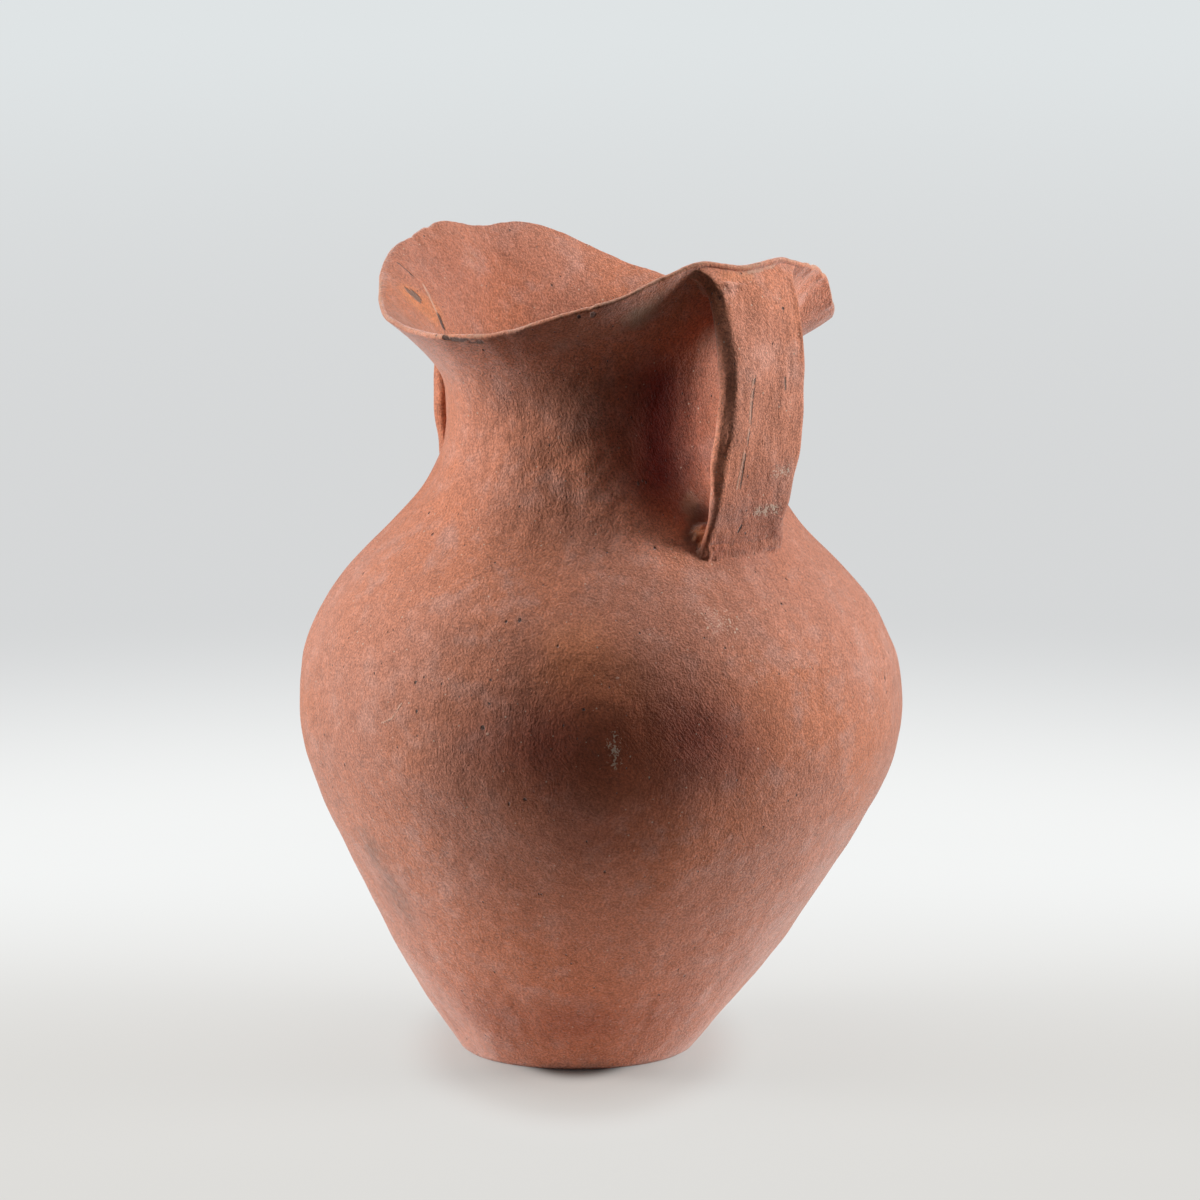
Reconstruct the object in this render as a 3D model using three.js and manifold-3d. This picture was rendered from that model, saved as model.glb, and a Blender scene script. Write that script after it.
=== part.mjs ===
// A two-handled pottery jar with a saddle-shaped mouth, put together as a potter builds it by hand:
// a slab base, rings of clay laid on one another with bevelled seams, and two straps luted on
// at the lip and the shoulder. Millimetres, +Z up, origin at the centre of the resting face.

import * as THREE from "three";
import { mergeVertices } from "three/addons/utils/BufferGeometryUtils.js";
import Module from "manifold-3d";

const wasm = await Module();
wasm.setup();

// Driving dimensions of the vessel
const BASE_RADIUS = 42;
const BASE_THICKNESS = 9;
const BASE_EDGE_ROUND = 2.5;
const BELLY_RADIUS = 110.5;
const BELLY_HEIGHT = 128;
const LOWER_SWELL = 36; // how far below the belly the slope of the lower wall aims at its radius
const SHOULDER_RISE = 59; // from the belly up to where the shoulder is at its steepest
const NECK_RISE = 49; // from there up to the neck
const NECK_RADIUS = 57.5;
const FLARE_RISE = 18; // from the neck up to where the slope of the mouth leaves its radius
const MOUTH_RISE = 34.2; // from the neck up to the lip, midway between the handles
const RIGHT_CREST_RISE = 24.3; // how far the lip climbs from there to the right handle
const LEFT_CREST_RISE = 24.5; // and to the left one
const LIP_RADIUS = 81;
const LIP_THICKNESS = 3.2;
const WALL = 6.5;

// Driving dimensions of the seams between the rings
const LOWER_RINGS = 4;
const SHOULDER_RINGS = 4;
const MOUTH_RINGS = 2;
const SEAM_BEVEL = 5; // how much higher a seam lies on the inside of the wall
const SLIP_GAP = 0.3; // film of slip between two pieces

// Driving dimensions of the handles
const STRAP_WIDTH = 34;
const STRAP_THICKNESS = 9.5;
const STRAP_CORNER = 3;
const FINGER_GAP = 23.5; // clear space between neck and strap
const STRAP_BOW_RISE = 20; // from the neck up to where the strap stands furthest out
const STRAP_TOP_SWEEP = 14.5; // how far below the lip the strap's top aims at that reach
const STRAP_FOOT_DROP = 40; // from the neck down to where the strap runs into the shoulder
const STRAP_FOOT_SWEEP = 21; // how far above its foot the strap leaves its reach
const STRAP_ROOT = 9; // length of strap that the wall trims off at the foot
const STRAP_LAP = 2.5; // how far in from the lip's edge the strap starts
const WAD_LENGTH = 28;
const TOP_WAD_RADIUS = 7.5;
const FOOT_WAD_RADIUS = 7;
const FOOT_ROLL_RADIUS = 4;
const FOOT_ROLL_LENGTH = 37;

// How the finished jar departs from a turned one, with directions in degrees about +Z from +X
const RIGHT_HANDLE_AZIMUTH = 0;
const LEFT_HANDLE_AZIMUTH = 172;
const RIGHT_CREST_TURN = -3; // the lip's crest lies this far round from the right handle
const LEFT_CREST_TURN = 7.5; // and this far from the left one
const CREST_HALF_ANGLE = 11.4; // the lip is level over the width of a strap
const DIP_ANGLE = 71; // the lip has sunk to its dip this far from a crest
const LEAN_AZIMUTH = 49;
const MOUTH_LEAN = 9; // the lip's centre lies this far from above the base's centre
const BELLY_SAG = 4.8; // and the belly bulges this much further to the same side

// Fineness of the facets
const TURN_STEPS = 48;
const RING_STEPS = 3;
const LIP_STEPS = 3;
const STRAP_STEPS = 18;
const CORNER_STEPS = 2;
const WAD_SIDES = 12;
const PROFILE_SAMPLES = 60;

const SHOULDER_HEIGHT = BELLY_HEIGHT + SHOULDER_RISE;
const NECK_HEIGHT = SHOULDER_HEIGHT + NECK_RISE;
const LIP_HEIGHT = NECK_HEIGHT + MOUTH_RISE;
const HANDLES = [
  {
    side: "right",
    azimuth: RIGHT_HANDLE_AZIMUTH,
    crest: RIGHT_HANDLE_AZIMUTH + RIGHT_CREST_TURN,
    rise: RIGHT_CREST_RISE,
  },
  {
    side: "left",
    azimuth: LEFT_HANDLE_AZIMUTH,
    crest: LEFT_HANDLE_AZIMUTH + LEFT_CREST_TURN,
    rise: LEFT_CREST_RISE,
  },
];
const radians = THREE.MathUtils.degToRad;
const firedClay = { color: 0xb06a4e, roughness: 0.9, metalness: 0 };
const lutingClay = { color: 0xa05f47, roughness: 0.95, metalness: 0 };

// The wall's outer line from the base to the lip's dip, as three curves of (radius, height).
const lowerWall = new THREE.QuadraticBezierCurve(
  new THREE.Vector2(BASE_RADIUS, 0),
  new THREE.Vector2(BELLY_RADIUS, BELLY_HEIGHT - LOWER_SWELL),
  new THREE.Vector2(BELLY_RADIUS, BELLY_HEIGHT),
);
const shoulderWall = new THREE.CubicBezierCurve(
  new THREE.Vector2(BELLY_RADIUS, BELLY_HEIGHT),
  new THREE.Vector2(BELLY_RADIUS, SHOULDER_HEIGHT),
  new THREE.Vector2(NECK_RADIUS, SHOULDER_HEIGHT),
  new THREE.Vector2(NECK_RADIUS, NECK_HEIGHT),
);
const mouthWall = new THREE.QuadraticBezierCurve(
  new THREE.Vector2(NECK_RADIUS, NECK_HEIGHT),
  new THREE.Vector2(NECK_RADIUS, NECK_HEIGHT + FLARE_RISE),
  new THREE.Vector2(LIP_RADIUS, LIP_HEIGHT),
);
const wallLine = new THREE.CurvePath();
wallLine.curves.push(lowerWall, shoulderWall, mouthWall);
const WALL_LENGTH = wallLine.getLength();
const LOWER_END = lowerWall.getLength();
const SHOULDER_END = LOWER_END + shoulderWall.getLength();

// A point of the wall, from its length along the outer line and its depth in from the outer face.
function wallPoint(length, depth) {
  const at = THREE.MathUtils.clamp(length / WALL_LENGTH, 0, 1);
  const slope = wallLine.getTangentAt(at);
  const outward = new THREE.Vector2(slope.y, -slope.x);
  return wallLine.getPointAt(at).addScaledVector(outward, -depth);
}

// The wall keeps its thickness up to the neck and thins from there to the lip.
function thicknessAt(length) {
  return THREE.MathUtils.mapLinear(
    Math.max(length, SHOULDER_END), SHOULDER_END, WALL_LENGTH, WALL, LIP_THICKNESS);
}

// The length along the outer line at which the line, or the inner face, reaches a height.
function lengthAtHeight(height, inner) {
  let low = 0;
  let high = WALL_LENGTH;
  for (let i = 0; i < PROFILE_SAMPLES; i++) {
    const middle = (low + high) / 2;
    const z = wallPoint(middle, inner ? thicknessAt(middle) : 0).y;
    if (z < height) low = middle;
    else high = middle;
  }
  return low;
}

// Evenly spaced points of the outer or inner face between two lengths.
function facePoints(from, to, steps, inner) {
  return Array.from({ length: steps + 1 }, (_, i) => {
    const length = THREE.MathUtils.lerp(from, to, i / steps);
    return wallPoint(length, inner ? thicknessAt(length) : 0);
  });
}

// How far the lip climbs in a direction: fully at a handle's crest, not at all midway between.
function lipRise(azimuth) {
  const rises = HANDLES.map(({ crest, rise }) => {
    const turn = THREE.MathUtils.euclideanModulo(azimuth - crest, 360);
    const away = Math.min(turn, 360 - turn);
    return rise * (1 - THREE.MathUtils.smoothstep(away, CREST_HALF_ANGLE, DIP_ANGLE));
  });
  return Math.max(...rises);
}

// Changes each vertex of a geometry by a function that edits a Vector3.
function reshape(geometry, change) {
  const places = geometry.getAttribute("position");
  const point = new THREE.Vector3();
  for (let i = 0; i < places.count; i++) {
    change(point.fromBufferAttribute(places, i));
    places.setXYZ(i, point.x, point.y, point.z);
  }
  return geometry;
}

// Above the neck the wall is stretched upwards towards the handles, which makes the saddle.
function raiseSaddle(geometry) {
  return reshape(geometry, (p) => {
    const share = (p.z - NECK_HEIGHT) / MOUTH_RISE;
    const azimuth = THREE.MathUtils.radToDeg(Math.atan2(p.y, p.x));
    p.z += Math.max(share, 0) * lipRise(azimuth);
  });
}

// The jar leans to one side as it rises, and its belly sags that way too.
function leanOver(geometry) {
  return reshape(geometry, (p) => {
    const sag = Math.sin((Math.PI * THREE.MathUtils.clamp(p.z, 0, SHOULDER_HEIGHT)) / SHOULDER_HEIGHT);
    const shift = (MOUTH_LEAN * p.z) / LIP_HEIGHT + BELLY_SAG * sag;
    p.x += shift * Math.cos(radians(LEAN_AZIMUTH));
    p.y += shift * Math.sin(radians(LEAN_AZIMUTH));
  });
}

// A closed profile turned about the jar's axis, given from the outside bottom round to the inside.
function turned(profile) {
  return new THREE.LatheGeometry(profile, TURN_STEPS).rotateX(Math.PI / 2);
}

// The base: a slab with a flat resting face, a rounded edge and a flat top for the first ring.
function baseSlab() {
  const edge = lengthAtHeight(BASE_THICKNESS, false);
  const round = Math.min(BASE_EDGE_ROUND, BASE_THICKNESS / 2);
  const side = facePoints(lengthAtHeight(round, false), edge, RING_STEPS, false);
  return turned([
    new THREE.Vector2(0, 0),
    new THREE.Vector2(BASE_RADIUS - round, 0),
    new THREE.Vector2(BASE_RADIUS - round / 4, round / 4),
    ...side,
    new THREE.Vector2(0, BASE_THICKNESS),
  ]);
}

// One ring of the wall between two lengths, its seams bevelled so that they rise inwards.
// The first ring stands flat on the slab, and the last one ends in a rounded lip.
function wallRing(from, to, isFirst, isLast) {
  const bottom = BASE_THICKNESS + SLIP_GAP;
  const outerFrom = isFirst ? lengthAtHeight(bottom, false) : from + SLIP_GAP / 2;
  const innerFrom = isFirst ? lengthAtHeight(bottom, true) : outerFrom + SEAM_BEVEL;
  const outerTo = isLast ? WALL_LENGTH : to - SLIP_GAP / 2;
  const innerTo = isLast ? WALL_LENGTH : outerTo + SEAM_BEVEL;
  const outer = facePoints(outerFrom, outerTo, RING_STEPS, false);
  const inner = facePoints(innerFrom, innerTo, RING_STEPS, true);
  const top = isLast ? lipRound() : [];
  return turned([...outer, ...top, ...inner.reverse(), outer[0]]);
}

// The half round of the lip, between its outer and its inner edge.
function lipRound() {
  const centre = wallPoint(WALL_LENGTH, LIP_THICKNESS / 2);
  const out = wallPoint(WALL_LENGTH, 0).sub(centre);
  return Array.from({ length: LIP_STEPS }, (_, i) =>
    out.clone().rotateAround(new THREE.Vector2(), (Math.PI * (i + 1)) / (LIP_STEPS + 1)).add(centre));
}

// All rings of the wall in order, each curve of the outer line cut into rings of equal width.
function wallRings() {
  const groups = [
    ["lower_wall_ring", lengthAtHeight(BASE_THICKNESS, false), LOWER_END, LOWER_RINGS],
    ["shoulder_ring", LOWER_END, SHOULDER_END, SHOULDER_RINGS],
    ["mouth_ring", SHOULDER_END, WALL_LENGTH, MOUTH_RINGS],
  ];
  return groups.flatMap(([name, start, end, count], group) =>
    Array.from({ length: count }, (_, i) => {
      const from = THREE.MathUtils.lerp(start, end, i / count);
      const to = THREE.MathUtils.lerp(start, end, (i + 1) / count);
      const isFirst = group === 0 && i === 0;
      const isLast = group === groups.length - 1 && i === count - 1;
      return { name: `${name}_${i + 1}`, geometry: wallRing(from, to, isFirst, isLast) };
    }));
}

// A closed geometry as a solid for joining and cutting, and a solid as a geometry again.
function solidOf(geometry) {
  const bare = geometry.clone();
  bare.deleteAttribute("normal");
  bare.deleteAttribute("uv");
  const merged = mergeVertices(bare, 1e-3);
  return new wasm.Manifold(new wasm.Mesh({
    numProp: 3,
    vertProperties: new Float32Array(merged.getAttribute("position").array),
    triVerts: new Uint32Array(merged.index.array),
  }));
}

function geometryOf(solid) {
  const mesh = solid.getMesh();
  const geometry = new THREE.BufferGeometry();
  geometry.setAttribute("position", new THREE.BufferAttribute(mesh.vertProperties, 3));
  geometry.setIndex(new THREE.BufferAttribute(mesh.triVerts, 1));
  geometry.computeVertexNormals();
  return geometry;
}

// What the straps and wads are trimmed by: the vessel's wall thickened inwards and carried up
// past the lip, with a film of slip on its outside.
function slipCore() {
  const rim = wallPoint(WALL_LENGTH, LIP_THICKNESS / 2).x + LIP_THICKNESS / 2 + SLIP_GAP;
  const top = LIP_HEIGHT + STRAP_THICKNESS;
  const side = Array.from({ length: PROFILE_SAMPLES + 1 }, (_, i) =>
    wallPoint((WALL_LENGTH * i) / PROFILE_SAMPLES, -SLIP_GAP));
  const profile = [
    ...side,
    new THREE.Vector2(rim, LIP_HEIGHT + LIP_THICKNESS / 2),
    new THREE.Vector2(rim, top),
    new THREE.Vector2(NECK_RADIUS / 2, top),
    new THREE.Vector2(NECK_RADIUS / 2, side[0].y),
    side[0],
  ];
  return solidOf(raiseSaddle(turned(profile)));
}

// The line down the middle of a strap, in the XZ plane: off the lip, out past the neck, and
// down into the shoulder.
function strapLine(rise) {
  const at = (radius, height) => new THREE.Vector3(radius, 0, height);
  const out = NECK_RADIUS + FINGER_GAP + STRAP_THICKNESS / 2;
  const crest = LIP_HEIGHT + rise;
  const foot = wallPoint(lengthAtHeight(NECK_HEIGHT - STRAP_FOOT_DROP, false), 0);
  const bend = new THREE.Vector2(out, foot.y + STRAP_FOOT_SWEEP);
  const root = foot.clone().sub(bend).setLength(STRAP_ROOT).add(foot);
  const bow = at(out, NECK_HEIGHT + STRAP_BOW_RISE);
  const line = new THREE.CurvePath();
  line.add(new THREE.QuadraticBezierCurve3(
    at(LIP_RADIUS - STRAP_LAP, crest), at(out, crest - STRAP_TOP_SWEEP), bow));
  line.add(new THREE.QuadraticBezierCurve3(bow, at(bend.x, bend.y), at(root.x, root.y)));
  return line;
}

// The strap before it is trimmed: a flat bar with rounded corners along its line, grown all round.
function strapBar(line, grow) {
  const x = STRAP_WIDTH / 2 + grow;
  const y = STRAP_THICKNESS / 2 + grow;
  const r = Math.min(STRAP_CORNER, STRAP_THICKNESS / 2);
  const section = new THREE.Shape()
    .moveTo(-x + r, -y)
    .lineTo(x - r, -y)
    .absarc(x - r, -y + r, r, -Math.PI / 2, 0)
    .lineTo(x, y - r)
    .absarc(x - r, y - r, r, 0, Math.PI / 2)
    .lineTo(-x + r, y)
    .absarc(-x + r, y - r, r, Math.PI / 2, Math.PI)
    .lineTo(-x, -y + r)
    .absarc(-x + r, -y + r, r, Math.PI, (3 * Math.PI) / 2);
  return solidOf(new THREE.ExtrudeGeometry(section, {
    steps: STRAP_STEPS,
    curveSegments: CORNER_STEPS,
    extrudePath: line,
  }));
}

// The corner where the outer (+1) or inner (-1) face of a strap meets the wall, looked for from
// the strap's middle towards its top (0) or its foot (1).
function strapCorner(line, rise, face, end) {
  const stretch = 1 + rise / MOUTH_RISE;
  let corner = new THREE.Vector3();
  for (let i = 0; i <= PROFILE_SAMPLES; i++) {
    const at = THREE.MathUtils.lerp(0.5, end, i / PROFILE_SAMPLES);
    const along = line.getTangentAt(at);
    const across = new THREE.Vector3(-along.z, 0, along.x);
    corner = line.getPointAt(at).addScaledVector(across, (face * STRAP_THICKNESS) / 2);
    const above = corner.z - NECK_HEIGHT;
    const height = NECK_HEIGHT + (above > 0 ? above / stretch : above);
    if (corner.x < wallPoint(lengthAtHeight(height, false), 0).x) break;
  }
  return corner;
}

// A roll of clay laid across the strap, centred on a corner.
function clayRoll(corner, radius, length) {
  return solidOf(new THREE.CylinderGeometry(radius, radius, length, WAD_SIDES)
    .translate(corner.x, 0, corner.z));
}

// The largest body of a trimmed solid, without the crumbs that trimming can leave.
function mainBody(solid) {
  return solid.decompose().reduce((best, body) => (body.volume() > best.volume() ? body : best));
}

// The pieces of one handle: its strap, the wads in the corners behind it, and the roll under it.
function handlePieces(core, rise) {
  const line = strapLine(rise);
  const clear = strapBar(line, SLIP_GAP);
  const topWad = clayRoll(strapCorner(line, rise, -1, 0), TOP_WAD_RADIUS, WAD_LENGTH);
  const footWad = clayRoll(strapCorner(line, rise, -1, 1), FOOT_WAD_RADIUS, WAD_LENGTH);
  const footRoll = clayRoll(strapCorner(line, rise, 1, 1), FOOT_ROLL_RADIUS, FOOT_ROLL_LENGTH);
  return {
    strap: mainBody(strapBar(line, 0).subtract(core)),
    top_wad: mainBody(topWad.subtract(core).subtract(clear)),
    foot_wad: mainBody(footWad.subtract(core).subtract(clear)),
    foot_roll: mainBody(footRoll.subtract(core).subtract(clear)),
  };
}

const jar = new THREE.Group();

function addPiece(name, geometry, finish) {
  const mesh = new THREE.Mesh(leanOver(geometry), new THREE.MeshStandardMaterial(finish));
  mesh.name = name;
  jar.add(mesh);
}

addPiece("base_slab", baseSlab(), firedClay);
for (const { name, geometry } of wallRings()) addPiece(name, raiseSaddle(geometry), firedClay);

const core = slipCore();
for (const { side, azimuth, rise } of HANDLES) {
  const pieces = handlePieces(core.rotate([0, 0, -azimuth]), rise);
  for (const [part, solid] of Object.entries(pieces)) {
    const finish = part === "strap" ? firedClay : lutingClay;
    addPiece(`${side}_handle_${part}`, geometryOf(solid.rotate([0, 0, azimuth])), finish);
  }
}

export default jar;
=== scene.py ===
"""Looks of the two-handled pottery jar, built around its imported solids.

Lengths are metres and azimuths are degrees about the jar's upright axis. The right handle stands
at azimuth 0, and the jar is seen from azimuth -41.
"""

import logging
import math
from dataclasses import dataclass, field
from enum import Enum
from functools import cached_property, partial, reduce
from typing import Any, Callable, Union

import bpy
import numpy as np
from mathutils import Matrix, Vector


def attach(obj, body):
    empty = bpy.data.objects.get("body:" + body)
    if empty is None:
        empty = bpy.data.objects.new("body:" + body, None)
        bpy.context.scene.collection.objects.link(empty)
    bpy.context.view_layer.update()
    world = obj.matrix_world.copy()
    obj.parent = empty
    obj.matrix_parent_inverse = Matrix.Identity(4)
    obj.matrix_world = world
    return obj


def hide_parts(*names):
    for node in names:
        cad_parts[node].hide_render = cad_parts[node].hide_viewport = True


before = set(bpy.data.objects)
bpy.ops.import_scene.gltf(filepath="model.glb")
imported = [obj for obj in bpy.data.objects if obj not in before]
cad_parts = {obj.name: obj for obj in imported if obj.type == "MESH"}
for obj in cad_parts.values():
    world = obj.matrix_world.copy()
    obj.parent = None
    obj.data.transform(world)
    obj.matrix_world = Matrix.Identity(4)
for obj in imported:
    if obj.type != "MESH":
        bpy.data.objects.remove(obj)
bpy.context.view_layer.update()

MM = 0.001
LOG = logging.getLogger("jar")
Array = np.ndarray
Colour = tuple[float, float, float]
Place = tuple[float, float, float]
Value = Union["Socket", float]
Zone = tuple[float, float]
LEVEL = (1.0, 1.0, 0.0)


def smoothstep(value: Array, low: float, high: float) -> Array:
    """Rises smoothly from 0 at low to 1 at high.

    Args:
        value: Numbers of any shape.
        low: Where the rise starts.
        high: Where the rise ends.

    Returns:
        Numbers from 0 to 1, in the shape of value.
    """
    share = np.clip((np.asarray(value, float) - low) / (high - low), 0.0, 1.0)
    return share * share * (3.0 - 2.0 * share)


def angle_between(first: Array, second: float) -> Array:
    """The unsigned turn in degrees between azimuths."""
    return np.abs((np.asarray(first) - second + 180.0) % 360.0 - 180.0)


def join_soft(first: Array, second: Array, reach: Union[float, Array]) -> Array:
    """Joins two distance fields with a fillet.

    Args:
        first: Signed distances to one solid.
        second: Signed distances to the other.
        reach: How far the fillet spreads.

    Returns:
        Signed distances to the joined solid.
    """
    share = np.clip(0.5 + 0.5 * (second - first) / reach, 0.0, 1.0)
    return second * (1.0 - share) + first * share - reach * share * (1.0 - share)


def cut_soft(first: Array, second: Array, reach: float) -> Array:
    """Keeps what lies in both solids, with an eased edge."""
    return -join_soft(-first, -second, reach)


def bezier(points: list[tuple[float, float]], steps: int) -> Array:
    """Points along a Bezier curve.

    Args:
        points: The curve's control points.
        steps: How many pieces the curve is cut into.

    Returns:
        An array of steps + 1 points.
    """
    share = np.linspace(0.0, 1.0, steps + 1)[:, None]
    level = [np.asarray(point, float)[None, :] for point in points]
    while len(level) > 1:
        level = [a * (1.0 - share) + b * share for a, b in zip(level, level[1:])]
    return level[0]


def round_curve(azimuth: Array, places: Array, values: Array) -> Array:
    """A smooth closed curve through knots round the jar.

    Args:
        azimuth: Where the curve is wanted, in degrees.
        places: Azimuths of the knots, rising within one turn.
        values: The curve's values at the knots.

    Returns:
        The curve's values, in the shape of azimuth.
    """
    places = np.concatenate([places - 360.0, places, places + 360.0])
    values = np.tile(values, 3)
    slopes = np.gradient(values, places)
    start = np.searchsorted(places, azimuth) - 1
    width = places[start + 1] - places[start]
    share = (azimuth - places[start]) / width
    ease = share * share * (3.0 - 2.0 * share)
    leave = share * (1.0 - share) ** 2 * slopes[start] * width
    arrive = share ** 2 * (share - 1.0) * slopes[start + 1] * width
    return values[start] * (1.0 - ease) + values[start + 1] * ease + leave + arrive


class Waves:
    """Smooth hand-made unevenness: plane waves of one length in seeded directions."""

    def __init__(self, seed: int, length: float, stretch: Place = (1.0, 1.0, 1.0),
                 count: int = 14) -> None:
        """Draws the waves.

        Args:
            seed: Seed of the directions and phases.
            length: Length of a wave.
            stretch: How many times longer the waves are along each axis.
            count: How many waves are added up.
        """
        draw = np.random.default_rng(seed)
        ways = draw.normal(size=(count, 3))
        ways /= np.linalg.norm(ways, axis=1, keepdims=True)
        pace = 2.0 * math.pi / length * draw.uniform(0.7, 1.4, size=(count, 1))
        self.ways = ways * pace / np.asarray(stretch)
        self.phases = draw.uniform(0.0, 2.0 * math.pi, size=count)

    def at(self, points: Array) -> Array:
        """Heights of the waves at points, mostly between -1.5 and 1.5."""
        turns = points @ self.ways.T + self.phases
        return np.sin(turns).sum(axis=-1) * math.sqrt(2.0 / len(self.phases))


class Side(Enum):
    """The two handles, named as they are seen."""

    RIGHT = "right"
    LEFT = "left"


@dataclass(frozen=True)
class HandleSite:
    """Where a handle stands and how the lip climbs to it."""

    azimuth: float
    crest: float
    rise: float


SITES = {
    Side.RIGHT: HandleSite(azimuth=0.0, crest=-3.0, rise=0.0243),
    Side.LEFT: HandleSite(azimuth=172.0, crest=179.5, rise=0.0245),
}


@dataclass(frozen=True)
class LipKnot:
    """How far the lip's edge is lifted and pulled outwards at an azimuth."""

    azimuth: float
    lift: float
    push: float = 0.0


LIP_KNOTS = (
    LipKnot(-131.0, 2.0 * MM, -1.8 * MM),
    LipKnot(-115.0, 2.4 * MM, 0.6 * MM),
    LipKnot(-100.0, -0.4 * MM),
    LipKnot(-90.0, -1.4 * MM),
    LipKnot(-80.0, -1.1 * MM),
    LipKnot(-64.0, 0.3 * MM),
    LipKnot(-55.0, 0.4 * MM),
    LipKnot(-45.0, -1.3 * MM),
    LipKnot(-36.0, -2.6 * MM),
    LipKnot(-26.0, -0.8 * MM),
    LipKnot(-16.0, 1.6 * MM),
    LipKnot(-5.0, -0.6 * MM),
    LipKnot(9.0, 0.6 * MM),
    LipKnot(19.0, 0.1 * MM),
    LipKnot(33.0, 3.2 * MM),
    LipKnot(39.0, 2.9 * MM, 1.5 * MM),
    LipKnot(45.0, -1.3 * MM, 2.8 * MM),
    LipKnot(55.0, -3.9 * MM, 3.2 * MM),
    LipKnot(66.0, -2.8 * MM, 1.8 * MM),
    LipKnot(84.0, -1.0 * MM),
    LipKnot(108.0, 1.0 * MM),
    LipKnot(124.0, 2.6 * MM),
    LipKnot(135.0, 1.7 * MM),
    LipKnot(159.0, 2.5 * MM),
    LipKnot(173.0, 0.8 * MM),
    LipKnot(187.0, 3.7 * MM),
    LipKnot(199.0, 1.4 * MM),
    LipKnot(212.0, 2.5 * MM),
    LipKnot(221.0, 1.8 * MM, -1.0 * MM),
)


@dataclass(frozen=True)
class LipNick:
    """A small chip out of the lip's edge."""

    azimuth: float
    depth: float
    half_angle: float


LIP_NICKS = (
    LipNick(-168.0, 0.9 * MM, 1.6),
    LipNick(-160.0, 0.6 * MM, 1.2),
    LipNick(-44.0, 0.5 * MM, 1.0),
    LipNick(26.0, 0.7 * MM, 1.2),
    LipNick(36.0, 0.6 * MM, 1.2),
    LipNick(46.0, 0.7 * MM, 1.3),
)


@dataclass(frozen=True)
class Dent:
    """A shallow dent (or swelling, where the depth is negative) in the wall."""

    azimuth: float
    height: float
    reach: float
    depth: float
    spread: float = 0.028


DENTS = (
    Dent(azimuth=229.0, height=0.2670, reach=0.008, depth=-1.6 * MM),
    Dent(azimuth=229.0, height=0.2525, reach=0.008, depth=2.0 * MM),
    Dent(azimuth=229.0, height=0.2250, reach=0.035, depth=2.4 * MM),
    Dent(azimuth=229.0, height=0.1150, reach=0.050, depth=1.6 * MM, spread=0.05),
    Dent(azimuth=229.0, height=0.0340, reach=0.020, depth=-1.8 * MM),
    Dent(azimuth=49.0, height=0.1180, reach=0.030, depth=-1.5 * MM),
    Dent(azimuth=49.0, height=0.0710, reach=0.026, depth=1.8 * MM),
    Dent(azimuth=49.0, height=0.0340, reach=0.020, depth=-1.5 * MM),
    Dent(azimuth=42.0, height=0.0140, reach=0.014, depth=1.0 * MM, spread=0.014),
)


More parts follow.
